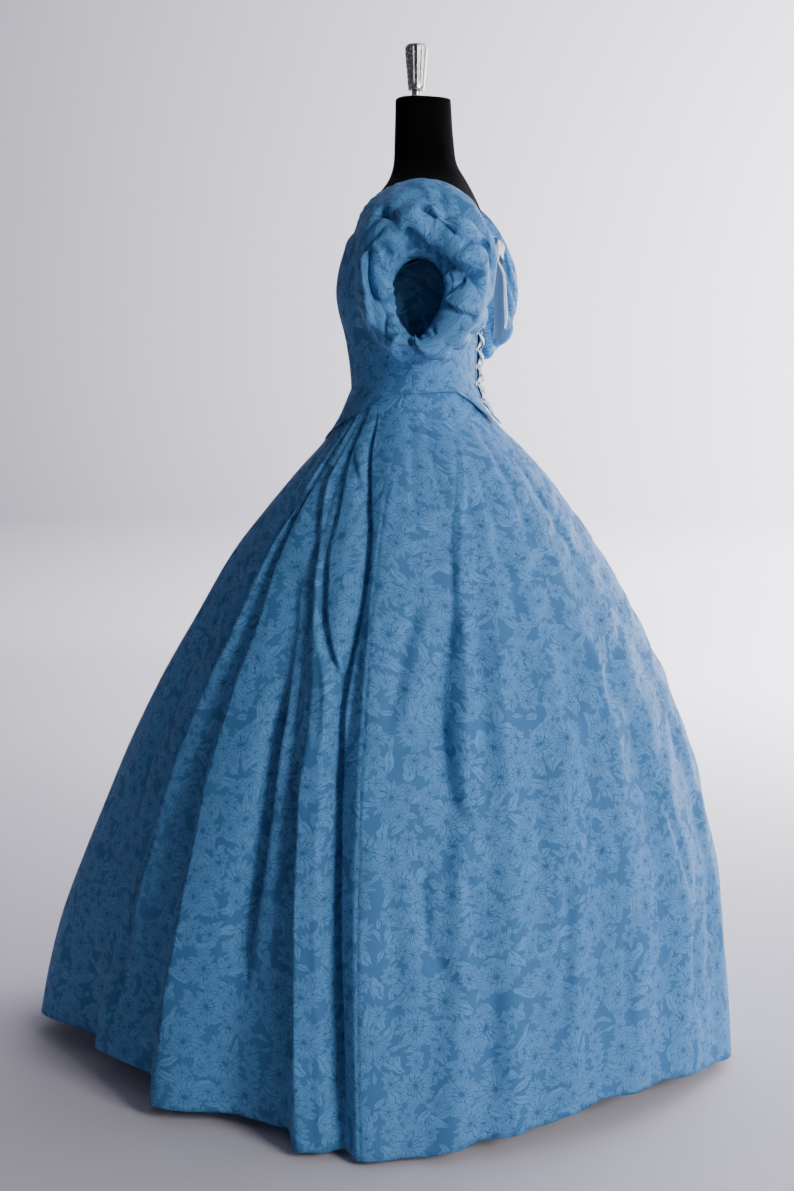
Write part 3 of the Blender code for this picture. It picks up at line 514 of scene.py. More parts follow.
def cut(made, points, held, *rests):
    """Return the piece of cloth as it is."""
    return made


def soft(t):
    """Smooth step from 0 to 1."""
    t = np.clip(t, 0, 1)
    return t * t * (3 - 2 * t)


def creases(rows, angle, height, radius, side):
    """Depth in metres of the creases: each one is a soft trough along a line through its three
    places, depth x exp(-(distance across / width)^2), that fades out at both of its ends."""
    rng = np.random.default_rng(5)
    total = np.zeros(np.broadcast(angle, height).shape)
    for k in range(len(rows["depth"])):
        turn, drop, share = rng.uniform(-1, 1, 3) if side < 0 else (0, 0, 0)
        knots = [rows["height_" + c][k] + OTHER_HEIGHT * drop for c in "cba"]
        line = curve_through(height, knots, [rows["angle_" + c][k] for c in "cba"])
        line = line + OTHER_CREASE * turn
        across = np.radians(angle - line) * radius * 1000
        t = (knots[2] - height) / (knots[2] - knots[0])
        lean = 1 - rows["skew"][k] * np.sign(across)
        width = rows["width"][k] * (1 + 0.3 * np.clip(t, 0, 1)) * lean
        fade = soft(t / 0.22) * soft((1 - t) / 0.25)
        total += rows["depth"][k] * (1 + 0.25 * share) * fade * np.exp(-(across / width)**2)
    return total / 1000


def fold_lines(folds, side, heights):
    """Angle and depth of each fold line at each height; the right side differs a little."""
    stations = (FOLD_FOOT, KNEE, HIP, WAIST)
    lines = np.arange(len(folds["waist"]))
    angle = curve_through(heights, stations, [folds[c] for c in ("hem", "knee", "hip", "waist")])
    depth = curve_through(heights, stations,
                          [folds[c] for c in ("in_hem", "in_knee", "in_hip", "in_waist")])
    if side < 0:
        below = WAIST - heights[:, None]
        angle[:, 1:-1] += OTHER_FOLD * np.sin(2.1 * lines[1:-1]) * below / WAIST
        depth = depth * (1 + 0.15 * np.sin(1.7 * lines))
    return angle, depth / 1000


def panel_points(angle, radius, height, side):
    """Points of a panel, with its first and last columns moved in by half of the seam's gap
    along the level direction (cos a, sin a)."""
    points = around(angle, radius, height)
    for column, way in ((0, 1), (-1, -1)):
        a = np.radians(angle[:, column])
        inward = np.stack((np.cos(a), np.sin(a), 0 * a), axis=-1)
        points[:, column] += way * (inward * SEAM_GAP / 2)
    points[..., 0] *= side
    return points


def skirt_panel(name, folds, side, grain, finish):
    """One panel of the skirt: the bell less the pleats between its fold lines (a soft step from
    line to line), the finer creases, the seam's groove and puckers, and slow uneven waves."""
    spans = np.diff(folds["hip"])
    counts = np.maximum(8, np.ceil(spans / COLUMN_STEP[side])).astype(int)
    places = [k + np.arange(n) / n for k, n in enumerate(counts)]
    places += [NEAR_SEAM / spans[0], len(spans) - NEAR_SEAM / spans[-1]]
    place = np.unique(np.round(np.concatenate(places), 5))
    k = np.minimum(place.astype(int), len(spans) - 1)
    t = place - k
    share = np.linspace(0, 1, SKIRT_ROWS)
    levels = FOLD_FOOT + (SKIRT_TOP - FOLD_FOOT) * (share + 0.06 * np.sin(np.pi * share))
    line_angle, line_depth = fold_lines(folds, side, levels)
    angle = line_angle[:, k] * (1 - t) + line_angle[:, k + 1] * t
    eased = t + (soft(t) - t) * (0.9 - 0.45 * levels[:, None] / WAIST)
    depth = line_depth[:, k] * (1 - eased) + line_depth[:, k + 1] * eased
    rise = folds["rise"][k] * (1 - soft(t)) + folds["rise"][k + 1] * soft(t)
    foot = np.clip(1 - (levels[:, None] - FOLD_FOOT) / (KNEE - FOLD_FOOT), 0, 1)
    height = levels[:, None] + foot * (rise - FOLD_FOOT)
    radius = bell_radius(angle, height)
    depth = depth + creases(SKIRT_CREASES, angle, height, radius, side)
    free = soft((FREE_BELOW - height) / FREE_WITHIN)
    seam = np.minimum(np.abs(angle - angle[:, :1]), np.abs(angle - angle[:, -1:]))
    from_seam = np.radians(seam) * radius
    depth += SEAM_DEPTH * free * np.exp(-(from_seam / SEAM_WIDTH)**2)
    pucker = waves(3, 0 * height, height, PUCKER_LENGTHS)
    depth -= PUCKER_HEIGHT * pucker * free * np.exp(-(from_seam / PUCKER_WIDTH)**2)
    swell = waves(8 + (side < 0), np.radians(angle) * radius, 0.45 * height,
                  SKIRT_WAVE_LENGTHS)
    depth -= SKIRT_WAVE * swell * free * soft(from_seam / 0.03)
    points = panel_points(angle, radius - depth, height, side)
    start = np.argmin(np.abs(angle[SKIRT_ROWS // 2] - grain))
    uv = cloth_lengths(points, start)
    made = grid_object(name, points, finish, uv, flip=side < 0, thickness=CLOTH)
    return cut(made, points, "hung", "skirt_waistband")


def bodice_panel(name, shares, angle_of, side, finish):
    """Panel of the bodice: rows from the lower edge over the waist to the upper edge, with its
    creases, a rolled and stitched edge at the top and at the bottom, and a lower edge that
    stands off the skirt by the lift x exp(-(..)^2) at the point in the back."""
    rough = angle_of(shares, np.full_like(shares, WAIST))
    low = np.interp(np.abs(rough), LOWER_EDGE["angle"], LOWER_EDGE["height"])
    high = np.interp(np.abs(rough), UPPER_EDGE["angle"], UPPER_EDGE["height"])
    rise = np.linspace(0, 1, BODICE_ROWS)
    rise = (rise - 0.07 * np.sin(2 * np.pi * rise))[:, None]
    height = low + (high - low) * rise
    angle = angle_of(shares, height)
    radius = bodice_radius(angle, height)
    depth = creases(BODICE_CREASES, np.abs(angle), height, radius, side)
    edge = np.minimum(height - low, high - height)
    depth += (STITCH_DEPTH * np.exp(-((edge - STITCH_IN) / STITCH_WIDTH)**2)
              - ROLL_HEIGHT * np.exp(-(edge / ROLL_WIDTH)**2))
    standing = np.exp(-((np.abs(angle) - POINT_ANGLE) / POINT_SPREAD)**2)
    depth -= POINT_LIFT * standing * np.exp(-((height - low) / POINT_REACH)**2)
    points = panel_points(angle, radius - depth, height, side)
    made = grid_object(name, points, finish, cloth_lengths(points, len(shares) // 2),
                       flip=side < 0, thickness=CLOTH)
    return cut(made, points, "stretched", "form_torso")


def bodice(finish):
    """The front from side seam to side seam, and both backs up to the lacing's gap."""
    def across_front(share, height):
        return SIDE_SEAM * (2 * share - 1) + 0 * height

    def across_back(share, height):
        last = 180 - np.degrees(np.arcsin(LACING_HALF_GAP / bodice_radius(180.0, height)))
        return SIDE_SEAM + share * (last - SIDE_SEAM)

    made = [bodice_panel("bodice_front_cloth", np.linspace(0, 1, 201), across_front, 1, finish)]
    for side, label in ((1, "left"), (-1, "right")):
        made.append(bodice_panel(f"bodice_back_{label}_cloth", np.linspace(0, 1, 91), across_back,
                                 side, finish))
    return made


def armhole_ring(turn):
    """Inner edge of the left sleeve: over the shoulder, and along the bodice's armhole."""
    body = UNDERARM["angle"]
    height = np.interp(body, UPPER_EDGE["angle"], UPPER_EDGE["height"]) - ARMHOLE_DROP
    under = around(body, bodice_radius(body, height) + 2 * SEAM_GAP + ARMHOLE_OFF, height)
    turns = np.concatenate((SHOULDER_EDGE["turn"], UNDERARM["turn"]))
    turns = np.append(turns, SHOULDER_EDGE["turn"][0] + 360)
    over = np.stack([SHOULDER_EDGE[c] for c in "xyz"], axis=1)
    points = np.concatenate((over, under, over[:1]))
    at = np.where(turn < turns[0], turn + 360, turn)
    return np.stack([curve_through(at, turns, points[:, c]) for c in range(3)], axis=1)


def gather_wave(turn, count, seed):
    """Wave of gathers round the arm, -1 to 1, uneven in its spacing and height."""
    a = np.radians(turn)
    phase = count * a + 0.9 * np.sin(2 * a + seed) + 0.6 * np.sin(5 * a + 2 * seed)
    return np.sin(phase) * (0.75 + 0.25 * np.sin(3 * a + 3 * seed))


def strokes(rows, turn, ring, side):
    """Depth in metres of the puff's folds, by the distance to each stroke: the deepest trough,
    gain x depth x exp(-(distance / width)^1.2), less the highest ridge, depth x exp(-(..)^2)."""
    rng = np.random.default_rng(21)
    trough = np.zeros(np.broadcast(turn, ring).shape)
    ridge = trough.copy()
    for k in range(len(rows["depth"])):
        off = rng.uniform(-OTHER_STROKE, OTHER_STROKE) if side < 0 else 0.0
        reach = ((rows["turn_b"][k] - rows["turn_a"][k] + 180) % 360 - 180) * TURN_MM
        rise = (rows["ring_b"][k] - rows["ring_a"][k]) * RING_MM
        along = ((turn - rows["turn_a"][k] - off + 180) % 360 - 180) * TURN_MM
        up = (ring - rows["ring_a"][k]) * RING_MM
        t = np.clip((along * reach + up * rise) / (reach**2 + rise**2), 0, 1)
        far = np.hypot(along - t * reach, up - t * rise) / rows["width"][k]
        trough = np.maximum(trough, TROUGH_GAIN * rows["depth"][k] * np.exp(-far**1.2))
        ridge = np.minimum(ridge, rows["depth"][k] * np.exp(-far**2))
    return (trough + ridge) / 1000


def sleeve(name, side, finish):
    """Puff sleeve: smooth curves through its rings, narrowed to a point under the arm at the
    cuff, less its folds, with small gathers at both edges that widen and fade into the puff.
    Its ridges lean over toward the cuff by a share of their height."""
    turn = np.linspace(-180, 180, SLEEVE_COLUMNS, endpoint=False)
    a = np.radians(turn)
    upper = (1 + np.cos(a)) / 2
    rings = [armhole_ring(turn)]
    last = len(PUFF["top"])
    for k in range(last):
        ring = {column: PUFF[column][k] for column in PUFF}
        x = ring["x_low"] + (ring["x_top"] - ring["x_low"]) * upper
        x = x - CUFF_TILT * upper**2 * max(0, k - 6)
        point = 1 - CUFF_POINT * (1 - upper)**2 * max(0, k - 5) / 4
        y = ring["mid_y"] + ring["depth"] * np.sin(a) * point
        z = (ring["top"] + ring["low"]) / 2 + (ring["top"] - ring["low"]) / 2 * np.cos(a)
        rings.append(np.stack((x, y, z), axis=1))
    row = np.linspace(0, last, SLEEVE_ROWS)
    points = curve_through(row, np.arange(last + 1), rings)
    outward = -grid_normals(points, True)
    ring = row[:, None]
    shape = -strokes(PUFF_FOLDS, turn, ring, side) * soft(ring / 0.8)
    toward_cuff = unit(np.gradient(points, axis=0))
    lean = ROLL_LEAN * np.clip(shape, 0, None) * soft((last - ring) / 1.2)
    top_rise = np.exp(-((ring - 0.75) / 0.7)**2) * soft(ring / 0.5)
    cuff_rise = np.exp(-((ring - last + 1.0) / 0.9)**2)
    shape += ARMHOLE_GATHER * gather_wave(turn, ARMHOLE_GATHERS, 1.0 + side) * top_rise
    shape += CUFF_GATHER * gather_wave(turn, CUFF_GATHERS, 3.0 + side) * cuff_rise
    middle = soft((ring - 0.6) / 1.4) * soft((last - ring) / 1.5)
    swell = waves(14 + side, a * PUFF_RADIUS, ring * RING_PITCH, PUFF_WAVE_LENGTHS)
    shape += PUFF_WAVE * swell * middle
    points = points + outward * shape[..., None] + toward_cuff * lean[..., None]
    if side < 0:
        points += soft(ring / 4)[..., None] * RIGHT_PUFF_SHIFT
    points[..., 0] *= side
    made = grid_object(name, points, finish, cloth_lengths(points, SLEEVE_COLUMNS // 2),
                       closed=True, flip=side > 0, thickness=CLOTH)
    return cut(made, points, "gathered", "bodice_front", "bodice_back_" + name.split("_")[1])


def back_seat(x, height, lift):
    """Points over the bodice's back at given x and heights, raised along its normals."""
    def on_cloth(px, pz):
        angle = 180 - np.degrees(np.arctan2(px, bodice_radius(180.0, pz)))
        depth = bodice_radius(angle, pz) * np.cos(np.radians(180 - angle))
        return np.stack(np.broadcast_arrays(px, depth, pz), axis=-1)

    step = 0.002
    normal = unit(np.cross(on_cloth(x - step, height) - on_cloth(x + step, height),
                           on_cloth(x, height + step) - on_cloth(x, height - step)))
    return on_cloth(x, height) + np.asarray(lift)[..., None] * normal, normal


def eyelets(finish):
    """Pairs of turned eyelets along the lacing's gap, each a flange with a rolled crown."""
    around_ring = np.linspace(0, 2 * np.pi, 24, endpoint=False)
    profile = np.array([(0.0016, 0.0003), (0.0019, 0.0014), (0.0026, 0.0019), (0.0034, 0.0014),
                        (0.0039, 0.0003)])
    ring = lathed(profile[:, :1], profile[:, 1:], around_ring)
    row = np.repeat(np.arange(EYELET_PAIRS), 2)
    x = EYELET_X * np.tile([1.0, -1.0], EYELET_PAIRS)
    seat, normal = back_seat(x, EYELET_TOP - row * EYELET_PITCH, 0 * x)
    level = unit(np.cross(normal, [0.0, 0.0, 1.0]))
    frames = np.stack((level, np.cross(normal, level), normal), axis=1)
    grids = seat[:, None, None] + np.einsum("rcj,njk->nrck", ring, frames)
    made = [grid_object(f"eyelet_{k:02d}", grid, finish, closed=True, thickness=0.0002)
            for k, grid in enumerate(grids)]
    return joined("lacing_eyelets", made)


def joined(name, parts):
    """One object of several, with their modifiers applied."""
    bpy.ops.object.select_all(action="DESELECT")
    for part in parts:
        part.select_set(True)
    bpy.context.view_layer.objects.active = parts[0]
    bpy.ops.object.convert(target="MESH")
    bpy.ops.object.join()
    made = bpy.context.object
    made.name = name
    made.data.name = name
    return made


def ribbon(name, centre, across, finish, held, *rests):
    """Ribbon along a line of centres; across is half of its width as a vector, and its middle
    stands over its edges by a tenth of the width."""
    share = np.linspace(-1, 1, RIBBON_COLUMNS)[None, :, None]
    middle = np.cross(across, unit(np.gradient(centre, axis=0)))
    points = centre[:, None] + across[:, None] * share + 0.2 * middle[:, None] * (1 - share**2)
    made = grid_object(name, points, finish, cloth_lengths(points, RIBBON_COLUMNS // 2),
                       thickness=RIBBON)
    return cut(made, points, held, *rests)


def lace(name, side, finish):
    """Ribbon that winds down between the eyelets, over and under the other one by turns."""
    t = np.linspace(LACE_START, EYELET_PAIRS - 1, 14 * EYELET_PAIRS)
    height = EYELET_TOP - EYELET_PITCH * t
    open_share = np.sin(np.pi * t)**2
    lift = LACE_LIFT + LACE_ARCH * open_share + side * LACE_CROSSING * np.sin(np.pi * t)
    centre = back_seat(0.0 * t, height, lift)[0]
    centre[:, 0] = side * LACE_X * np.cos(np.pi * t)
    along = unit(np.gradient(centre, axis=0))
    half = (LACE_PINCHED + LACE_OPENED * open_share) / 2
    across = unit(np.cross(along, [0.0, 1.0, 0.0])) * half[:, None]
    return ribbon(name, centre, across, finish, "stretched", "bodice_back_left",
                  "bodice_back_right")


def bow(finish):
    """Bow at the top of the lacing: a wrapped knot, two drooping loops and two tails."""
    seat = back_seat(np.zeros(1), np.full(1, BOW_HEIGHT), np.full(1, BOW_STANDOFF))[0][0]
    made = [knot("bow_knot_satin", seat, finish)]
    for side, label in ((1, "left"), (-1, "right")):
        made.append(bow_loop(f"bow_loop_{label}_satin", seat, side, finish))
        made.append(bow_tail(f"bow_tail_{label}_satin", seat, side, finish))
    return made


def knot(name, seat, finish):
    """Knot as a rounded wrap, radius 1 - 0.07 cos^2 of its wrinkles, closed at both poles."""
    polar = np.linspace(0.04, np.pi - 0.04, 25)[:, None]
    a = np.linspace(0, 2 * np.pi, 48, endpoint=False)
    size = 1 - 0.07 * np.cos(4.0 * polar + 0.6 * np.sin(a))**2
    ball = np.stack(np.broadcast_arrays(np.cos(polar), np.sin(polar) * np.sin(a),
                                        np.sin(polar) * np.cos(a)), axis=-1)
    points = seat + ball * size[..., None] * np.array(KNOT_HALF)
    return grid_object(name, points, finish, closed=True, ends=True, flip=True)


def bow_loop(name, seat, side, finish):
    """Loop of ribbon that leaves the knot, droops outward and comes back below itself."""
    t = np.linspace(0, 1, 49)
    reach = KNOT_HALF[0] + 2 * SEAM_GAP + BOW_REACH * np.sin(np.pi * t)**0.8
    open_y = (LOOP_BACK + LOOP_ARCH * np.sin(np.pi * t) + LOOP_OPEN * np.sin(2 * np.pi * t)
              + LOOP_PART * (1 - 2 * t))
    run = reach - reach[0]
    droop = -LOOP_SLOPE * run - LOOP_SAG * run**2
    centre = np.stack((side * reach, open_y, droop), axis=1) + seat
    half = BOW_WIDTH / 2 * (LOOP_PINCH + (1 - LOOP_PINCH) * np.clip(run / LOOP_FULL, 0, 1))
    across = np.stack((side * 0.3 * half, 0 * half, 0.95 * half), axis=1)
    return ribbon(name, centre, across, finish, "folded", "bow_knot")


def bow_tail(name, seat, side, finish):
    """Tail of ribbon from under the knot, free at its straight cut end."""
    length = TAIL_LEFT if side > 0 else TAIL_RIGHT
    t = np.linspace(0, 1, 61)
    x = side * (TAIL_START + TAIL_SPREAD * t + TAIL_SWAY * np.sin(4 * t))
    away = soft(t / 0.35)
    y = (-TAIL_UNDER + TAIL_BEND * np.sin(2.6 * t) + TAIL_RIPPLE * np.sin(9 * t)
         + side * TAIL_PASSING + TAIL_AWAY * away)
    z = -KNOT_HALF[2] - 2 * SEAM_GAP - (length - KNOT_HALF[2]) * t
    centre = np.stack((x, y, z), axis=1) + seat
    half = BOW_WIDTH / 2 * (TAIL_PINCH + (1 - TAIL_PINCH) * np.clip(t / 0.45, 0, 1))
    across = np.stack((half * (1 - 0.3 * away), 0.7 * side * half * away, 0 * half), axis=1)
    return ribbon(name, centre, across, finish, "hung", "bow_knot")


def form_torso(finish):
    """Torso and neck of the form, with a rounded lower edge and closed ends."""
    share = np.linspace(0, 1, 100)[:, None]
    height = FORM_BOTTOM + (NECK_TOP - FORM_BOTTOM) * share
    angle = np.linspace(0, 360, 96, endpoint=False)
    shape = np.where(angle > 180, angle - 360, angle)
    points = around(angle, form_radius(shape, height), height)
    return grid_object("form_torso_jersey", points, finish, cloth_lengths(points, 48), closed=True,
                       ends=True)


def turned(name, profile, finish, flutes=0, groove=0.0):
    """Turned piece from a profile of radius and height, with flutes from FLUTED_FROM to
    FLUTED_TO: radius x (1 - groove |cos(n a / 2)|^3)."""
    at = np.arange(len(profile))
    fine = np.unique(np.concatenate([at, np.linspace(0, len(profile) - 1, 5 * len(profile))]))
    shape = np.array([np.interp(fine, at, column) for column in np.array(profile).T]).T
    a = np.linspace(0, 2 * np.pi, 72, endpoint=False)
    fluted = (soft((shape[:, 1:] - FLUTED_FROM) / 0.008)
              * soft((FLUTED_TO - shape[:, 1:]) / 0.006))
    radius = shape[:, :1] * (1 - groove * np.abs(np.cos(flutes * a / 2))**3 * fluted)
    return grid_object(name, lathed(radius, shape[:, 1:], a), finish, closed=True, ends=True)


def colour(code):
    """Linear colour with alpha 1 of an sRGB hex value."""
    parts = np.array([int(code[k:k + 2], 16) / 255 for k in (0, 2, 4)])
    linear = np.where(parts <= 0.04045, parts / 12.92, ((parts + 0.055) / 1.055)**2.4)
    return (*linear.tolist(), 1.0)


def fill(tree, made, inputs):
    """Sockets of a node, by name or in their order: each one gets a value, or is fed by an output
    or by a node's first output."""
    for key, value in inputs.items() if isinstance(inputs, dict) else enumerate(inputs):
        if isinstance(value, bpy.types.Node):
            value = value.outputs[0]
        if isinstance(value, bpy.types.NodeSocket):
            tree.links.new(value, made.inputs[key])
        else:
            made.inputs[key].default_value = value


def node(tree, kind, inputs=(), **settings):
    """Node with its settings, its values and its links."""
    made = tree.nodes.new("ShaderNode" + kind)
    for key, value in settings.items():
        setattr(made, key, value)
    fill(tree, made, inputs)
    return made


def new_material(name):
    """Material, its node tree and its surface shader."""
    made = bpy.data.materials.new(name)
    made.use_nodes = True
    return made, made.node_tree, made.node_tree.nodes["Principled BSDF"]


def motif_places(tree, cloth, size, randomness, shift):
    """Each motif's own x, y and z, in units of its cell, turned by a chance share of a full turn;
    with the distance from its middle and the angle round it."""
    scaled = node(tree, "Mapping", {"Vector": cloth, "Location": (shift, 0.37 * shift, 0),
                                    "Scale": (1 / size,) * 3})
    cells = node(tree, "TexVoronoi", {"Vector": scaled, "Scale": 1.0, "Randomness": randomness},
                 voronoi_dimensions="2D")
    local = node(tree, "VectorMath", (scaled, cells.outputs["Position"]),
                 operation="SUBTRACT")
    chance = node(tree, "SeparateXYZ", (cells.outputs["Color"],))
    turn = node(tree, "Math", (chance, FULL_TURN), operation="MULTIPLY")
    turned_to = node(tree, "VectorRotate", {"Vector": local, "Angle": turn},
                     rotation_type="Z_AXIS")
    place = node(tree, "SeparateXYZ", (turned_to,)).outputs
    angle = node(tree, "Math", (place[1], place[0]), operation="ARCTAN2")
    return place, cells.outputs["Distance"], angle


def wave_of(tree, angle, count, strength, middle):
    """middle + strength x |sin(count x angle)|."""
    sweep = node(tree, "Math", (angle, count), operation="MULTIPLY")
    sine = node(tree, "Math", (sweep,), operation="SINE")
    size = node(tree, "Math", (sine,), operation="ABSOLUTE")
    return node(tree, "Math", (size, strength, middle), operation="MULTIPLY_ADD")


def least(tree, *values):
    """Smallest of several values."""
    found = values[0]
    for value in values[1:]:
        found = node(tree, "Math", (found, value), operation="MINIMUM")
    return found


def blossoms(tree, cloth, size, petals, shift):
    """Open flowers, and the area they cover: slim notched petals that reach 0.27 to 0.43 of a
    cell, with dark lines between them and along them, round a ringed heart."""
    _, far, angle = motif_places(tree, cloth, size, 0.7, shift)
    reach = wave_of(tree, angle, petals / 2, 0.16, 0.27)
    over = node(tree, "Math", (reach, far), operation="SUBTRACT")
    inside = node(tree, "MapRange", {"Value": over, "From Max": 0.03})
    gap = wave_of(tree, angle, petals / 2, 1.0, 0.0)
    aside = node(tree, "Math", (gap, far), operation="MULTIPLY")
    petal = node(tree, "MapRange", {"Value": aside, "From Min": 0.020, "From Max": 0.075})
    crown = wave_of(tree, angle, 3.5, 0.04, 0.14)
    off_ring = node(tree, "Math", (far, crown), operation="SUBTRACT")
    ring_far = node(tree, "Math", (off_ring,), operation="ABSOLUTE")
    ring = node(tree, "MapRange", {"Value": ring_far, "From Max": 0.014})
    streak = wave_of(tree, angle, petals * 1.5, 0.06, 0.0)
    vein = node(tree, "MapRange", {"Value": streak, "From Min": 0.006, "From Max": 0.034})
    heart = node(tree, "MapRange", {"Value": far, "From Min": 0.34, "From Max": 0.26})
    lines = node(tree, "Math", (vein, heart), operation="MAXIMUM")
    return least(tree, inside, petal, ring, lines), inside


def leaves(tree, cloth, size, shift, slim):
    """Pointed leaves, slim x (1 - (2.1 x)^2) wide, with a midrib and slanting side veins."""
    place, _, _ = motif_places(tree, cloth, size, 0.75, shift)
    along = node(tree, "Math", (place[0], 2.1), operation="MULTIPLY")
    squared = node(tree, "Math", (along, along), operation="MULTIPLY")
    reach = node(tree, "Math", (squared, -slim, slim), operation="MULTIPLY_ADD")
    aside = node(tree, "Math", (place[1],), operation="ABSOLUTE")
    over = node(tree, "Math", (reach, aside), operation="SUBTRACT")
    slant = node(tree, "Math", (aside, 1.2, place[0]), operation="MULTIPLY_ADD")
    ribs = wave_of(tree, slant, 26.0, 1.0, 0.0)
    side_vein = node(tree, "MapRange", {"Value": ribs, "From Min": 0.10, "From Max": 0.35})
    midrib = node(tree, "MapRange", {"Value": aside, "From Min": 0.008, "From Max": 0.030})
    blade = node(tree, "MapRange", {"Value": over, "From Max": 0.035})
    return least(tree, blade, midrib, side_vein)


def gown_jacquard():
    """Silk jacquard, woven with the figures in satin floats on a duller twill ground, which
    gives smooth pale flowers and leaves that catch the light on a deeper blue."""
    made, tree, surface = new_material("blue_silk_jacquard")
    uv = node(tree, "UVMap", uv_map="cloth")
    drift = node(tree, "TexNoise", {"Vector": uv, "Scale": 30.0, "Detail": 4.0})
    level = node(tree, "VectorMath", (drift.outputs["Color"], (0.5, 0.5, 0.5)),
                 operation="SUBTRACT")
    push = node(tree, "VectorMath", {0: level, "Scale": 0.027}, operation="SCALE")
    cloth = node(tree, "VectorMath", (uv, push), operation="ADD")
    flower, flower_area = blossoms(tree, cloth, FLOWER, 15, 0.0)
    bud, bud_area = blossoms(tree, cloth, BUD, 9, 4.1)
    large = leaves(tree, cloth, LARGE_LEAF, 3.3, 0.19)
    small = leaves(tree, cloth, SMALL_LEAF, 7.7, 0.16)
    foliage = node(tree, "Math", (large, small), operation="MAXIMUM")
    off_bud = node(tree, "Math", (1.0, bud_area), operation="SUBTRACT")
    leafy = node(tree, "Math", (foliage, off_bud), operation="MULTIPLY")
    budded = node(tree, "Math", (leafy, bud), operation="MAXIMUM")
    outside = node(tree, "Math", (1.0, flower_area), operation="SUBTRACT")
    around_it = node(tree, "Math", (budded, outside), operation="MULTIPLY")
    figure = node(tree, "Math", (flower, around_it), operation="MAXIMUM")
    covered = node(tree, "Math", (flower_area, bud_area), operation="MAXIMUM")
    low = node(tree, "Math", (covered, -0.17, 0.32), operation="MULTIPLY_ADD")
    woven = node(tree, "Math", (figure, 0.61, low), operation="MULTIPLY_ADD")
    # The threads are finer than a millimetre; they are drawn a little coarser to be seen at all.
    threads = node(tree, "Mapping", {"Vector": uv, "Scale": (620.0, 110.0, 1.0)})
    slub = node(tree, "TexNoise", {"Vector": threads, "Scale": 1.0, "Detail": 1.0})
    tone = node(tree, "Math", (slub, 0.20, woven), operation="MULTIPLY_ADD")
    ramp = node(tree, "ValToRGB", (tone,))
    ramp.color_ramp.elements[0].color = colour("224d7a")
    ramp.color_ramp.elements[1].color = colour("5f9cd1")
    ramp.color_ramp.elements[1].position = 1.0
    gloss = node(tree, "MapRange", {"Value": figure, "To Min": 0.72, "To Max": 0.50})
    relief = node(tree, "Bump", {"Height": tone, "Strength": 0.6, "Distance": 0.0012})
    fill(tree, surface, {"Base Color": ramp, "Roughness": gloss, "Specular IOR Level": 0.07,
                         "Normal": relief})
    return made


def plain_cloth(name, code, roughness, sheen, scale, strength):
    """Plain woven or knitted cloth: fine even threads that give a soft broken shine."""
    made, tree, surface = new_material(name)
    place = node(tree, "TexCoord").outputs["Object"]
    grain = node(tree, "TexNoise", {"Vector": place, "Scale": scale, "Detail": 3.0})
    relief = node(tree, "Bump", {"Height": grain, "Strength": strength, "Distance": 0.0006})
    fill(tree, surface, {"Base Color": colour(code), "Roughness": roughness,
                         "Specular IOR Level": 0.1, "Sheen Weight": sheen,
                         "Sheen Roughness": 0.5, "Normal": relief})
    return made


def metal(name, code, roughness):
    """Metal whose brushing and handling give it a slightly uneven gloss."""
    made, tree, surface = new_material(name)
    place = node(tree, "TexCoord").outputs["Object"]
    worn = node(tree, "TexNoise", {"Vector": place, "Scale": 180.0, "Detail": 3.0})
    gloss = node(tree, "MapRange", {"Value": worn, "To Min": roughness - 0.07,
                                    "To Max": roughness + 0.10})
    fill(tree, surface, {"Base Color": colour(code), "Metallic": 1.0, "Roughness": gloss})
    return made


def ribbon_satin():
    """Narrow polyester satin ribbon, thin enough to let some light through; its threads too are
    drawn coarser than they are."""
    made, tree, surface = new_material("pale_satin_ribbon")
    uv = node(tree, "UVMap", uv_map="cloth")
    threads = node(tree, "Mapping", {"Vector": uv, "Scale": (2500.0, 150.0, 1.0)})
    grain = node(tree, "TexNoise", {"Vector": threads, "Scale": 1.0})
    relief = node(tree, "Bump", {"Height": grain, "Strength": 0.2, "Distance": 0.0002})
    fill(tree, surface, {"Base Color": colour("a5c3da"), "Roughness": 0.36, "Sheen Weight": 0.2,
                         "Transmission Weight": 0.25, "Normal": relief})
    return made


def add_stage():
    """Floor and round wall: a turned profile of a flat disc, a quarter circle and a straight rise.
    Its matt paint goes from painted shade toward the gown's front to painted light behind it, along
    the dot product with a level direction, and is paler on the floor."""
    bend = np.linspace(0.1, 1.57, 14)
    radius = np.concatenate((np.linspace(0.02, FLOOR_RADIUS, 12),
                             FLOOR_RADIUS + SWEEP * np.sin(bend), np.full(2, FLOOR_RADIUS + SWEEP)))
    height = np.concatenate((np.zeros(12), SWEEP - SWEEP * np.cos(bend), (3.0, WALL_TOP)))
    a = np.linspace(0, 2 * np.pi, 96, endpoint=False)
    points = lathed(radius[:, None], height[:, None], a)
    finish, tree, surface = new_material("backdrop_painted_light_and_shade")
    place = node(tree, "TexCoord").outputs["Object"]
    toward = node(tree, "VectorMath", (place, (-0.5, 0.87, 0.0)), operation="DOT_PRODUCT")
    across = node(tree, "MapRange", {"Value": toward.outputs["Value"], "From Min": -2.0,
                                     "From Max": 4.2})
    up = node(tree, "SeparateXYZ", (place,)).outputs["Z"]
    floor = node(tree, "MapRange", {"Value": up, "From Max": 0.5, "To Min": 0.50, "To Max": 0.0})
    share = node(tree, "Math", (across, floor), operation="ADD")
    # The ramp runs from painted shade at its dark end to painted light at its pale end.
    ramp = node(tree, "ValToRGB", (share,))
    ramp.color_ramp.elements[0].color = colour("484a54")
    ramp.color_ramp.elements[1].color = colour("efedf4")
    fill(tree, surface, {"Base Color": ramp, "Roughness": 0.85})
    grid_object("floor", points, finish, closed=True, ends=True, flip=True)


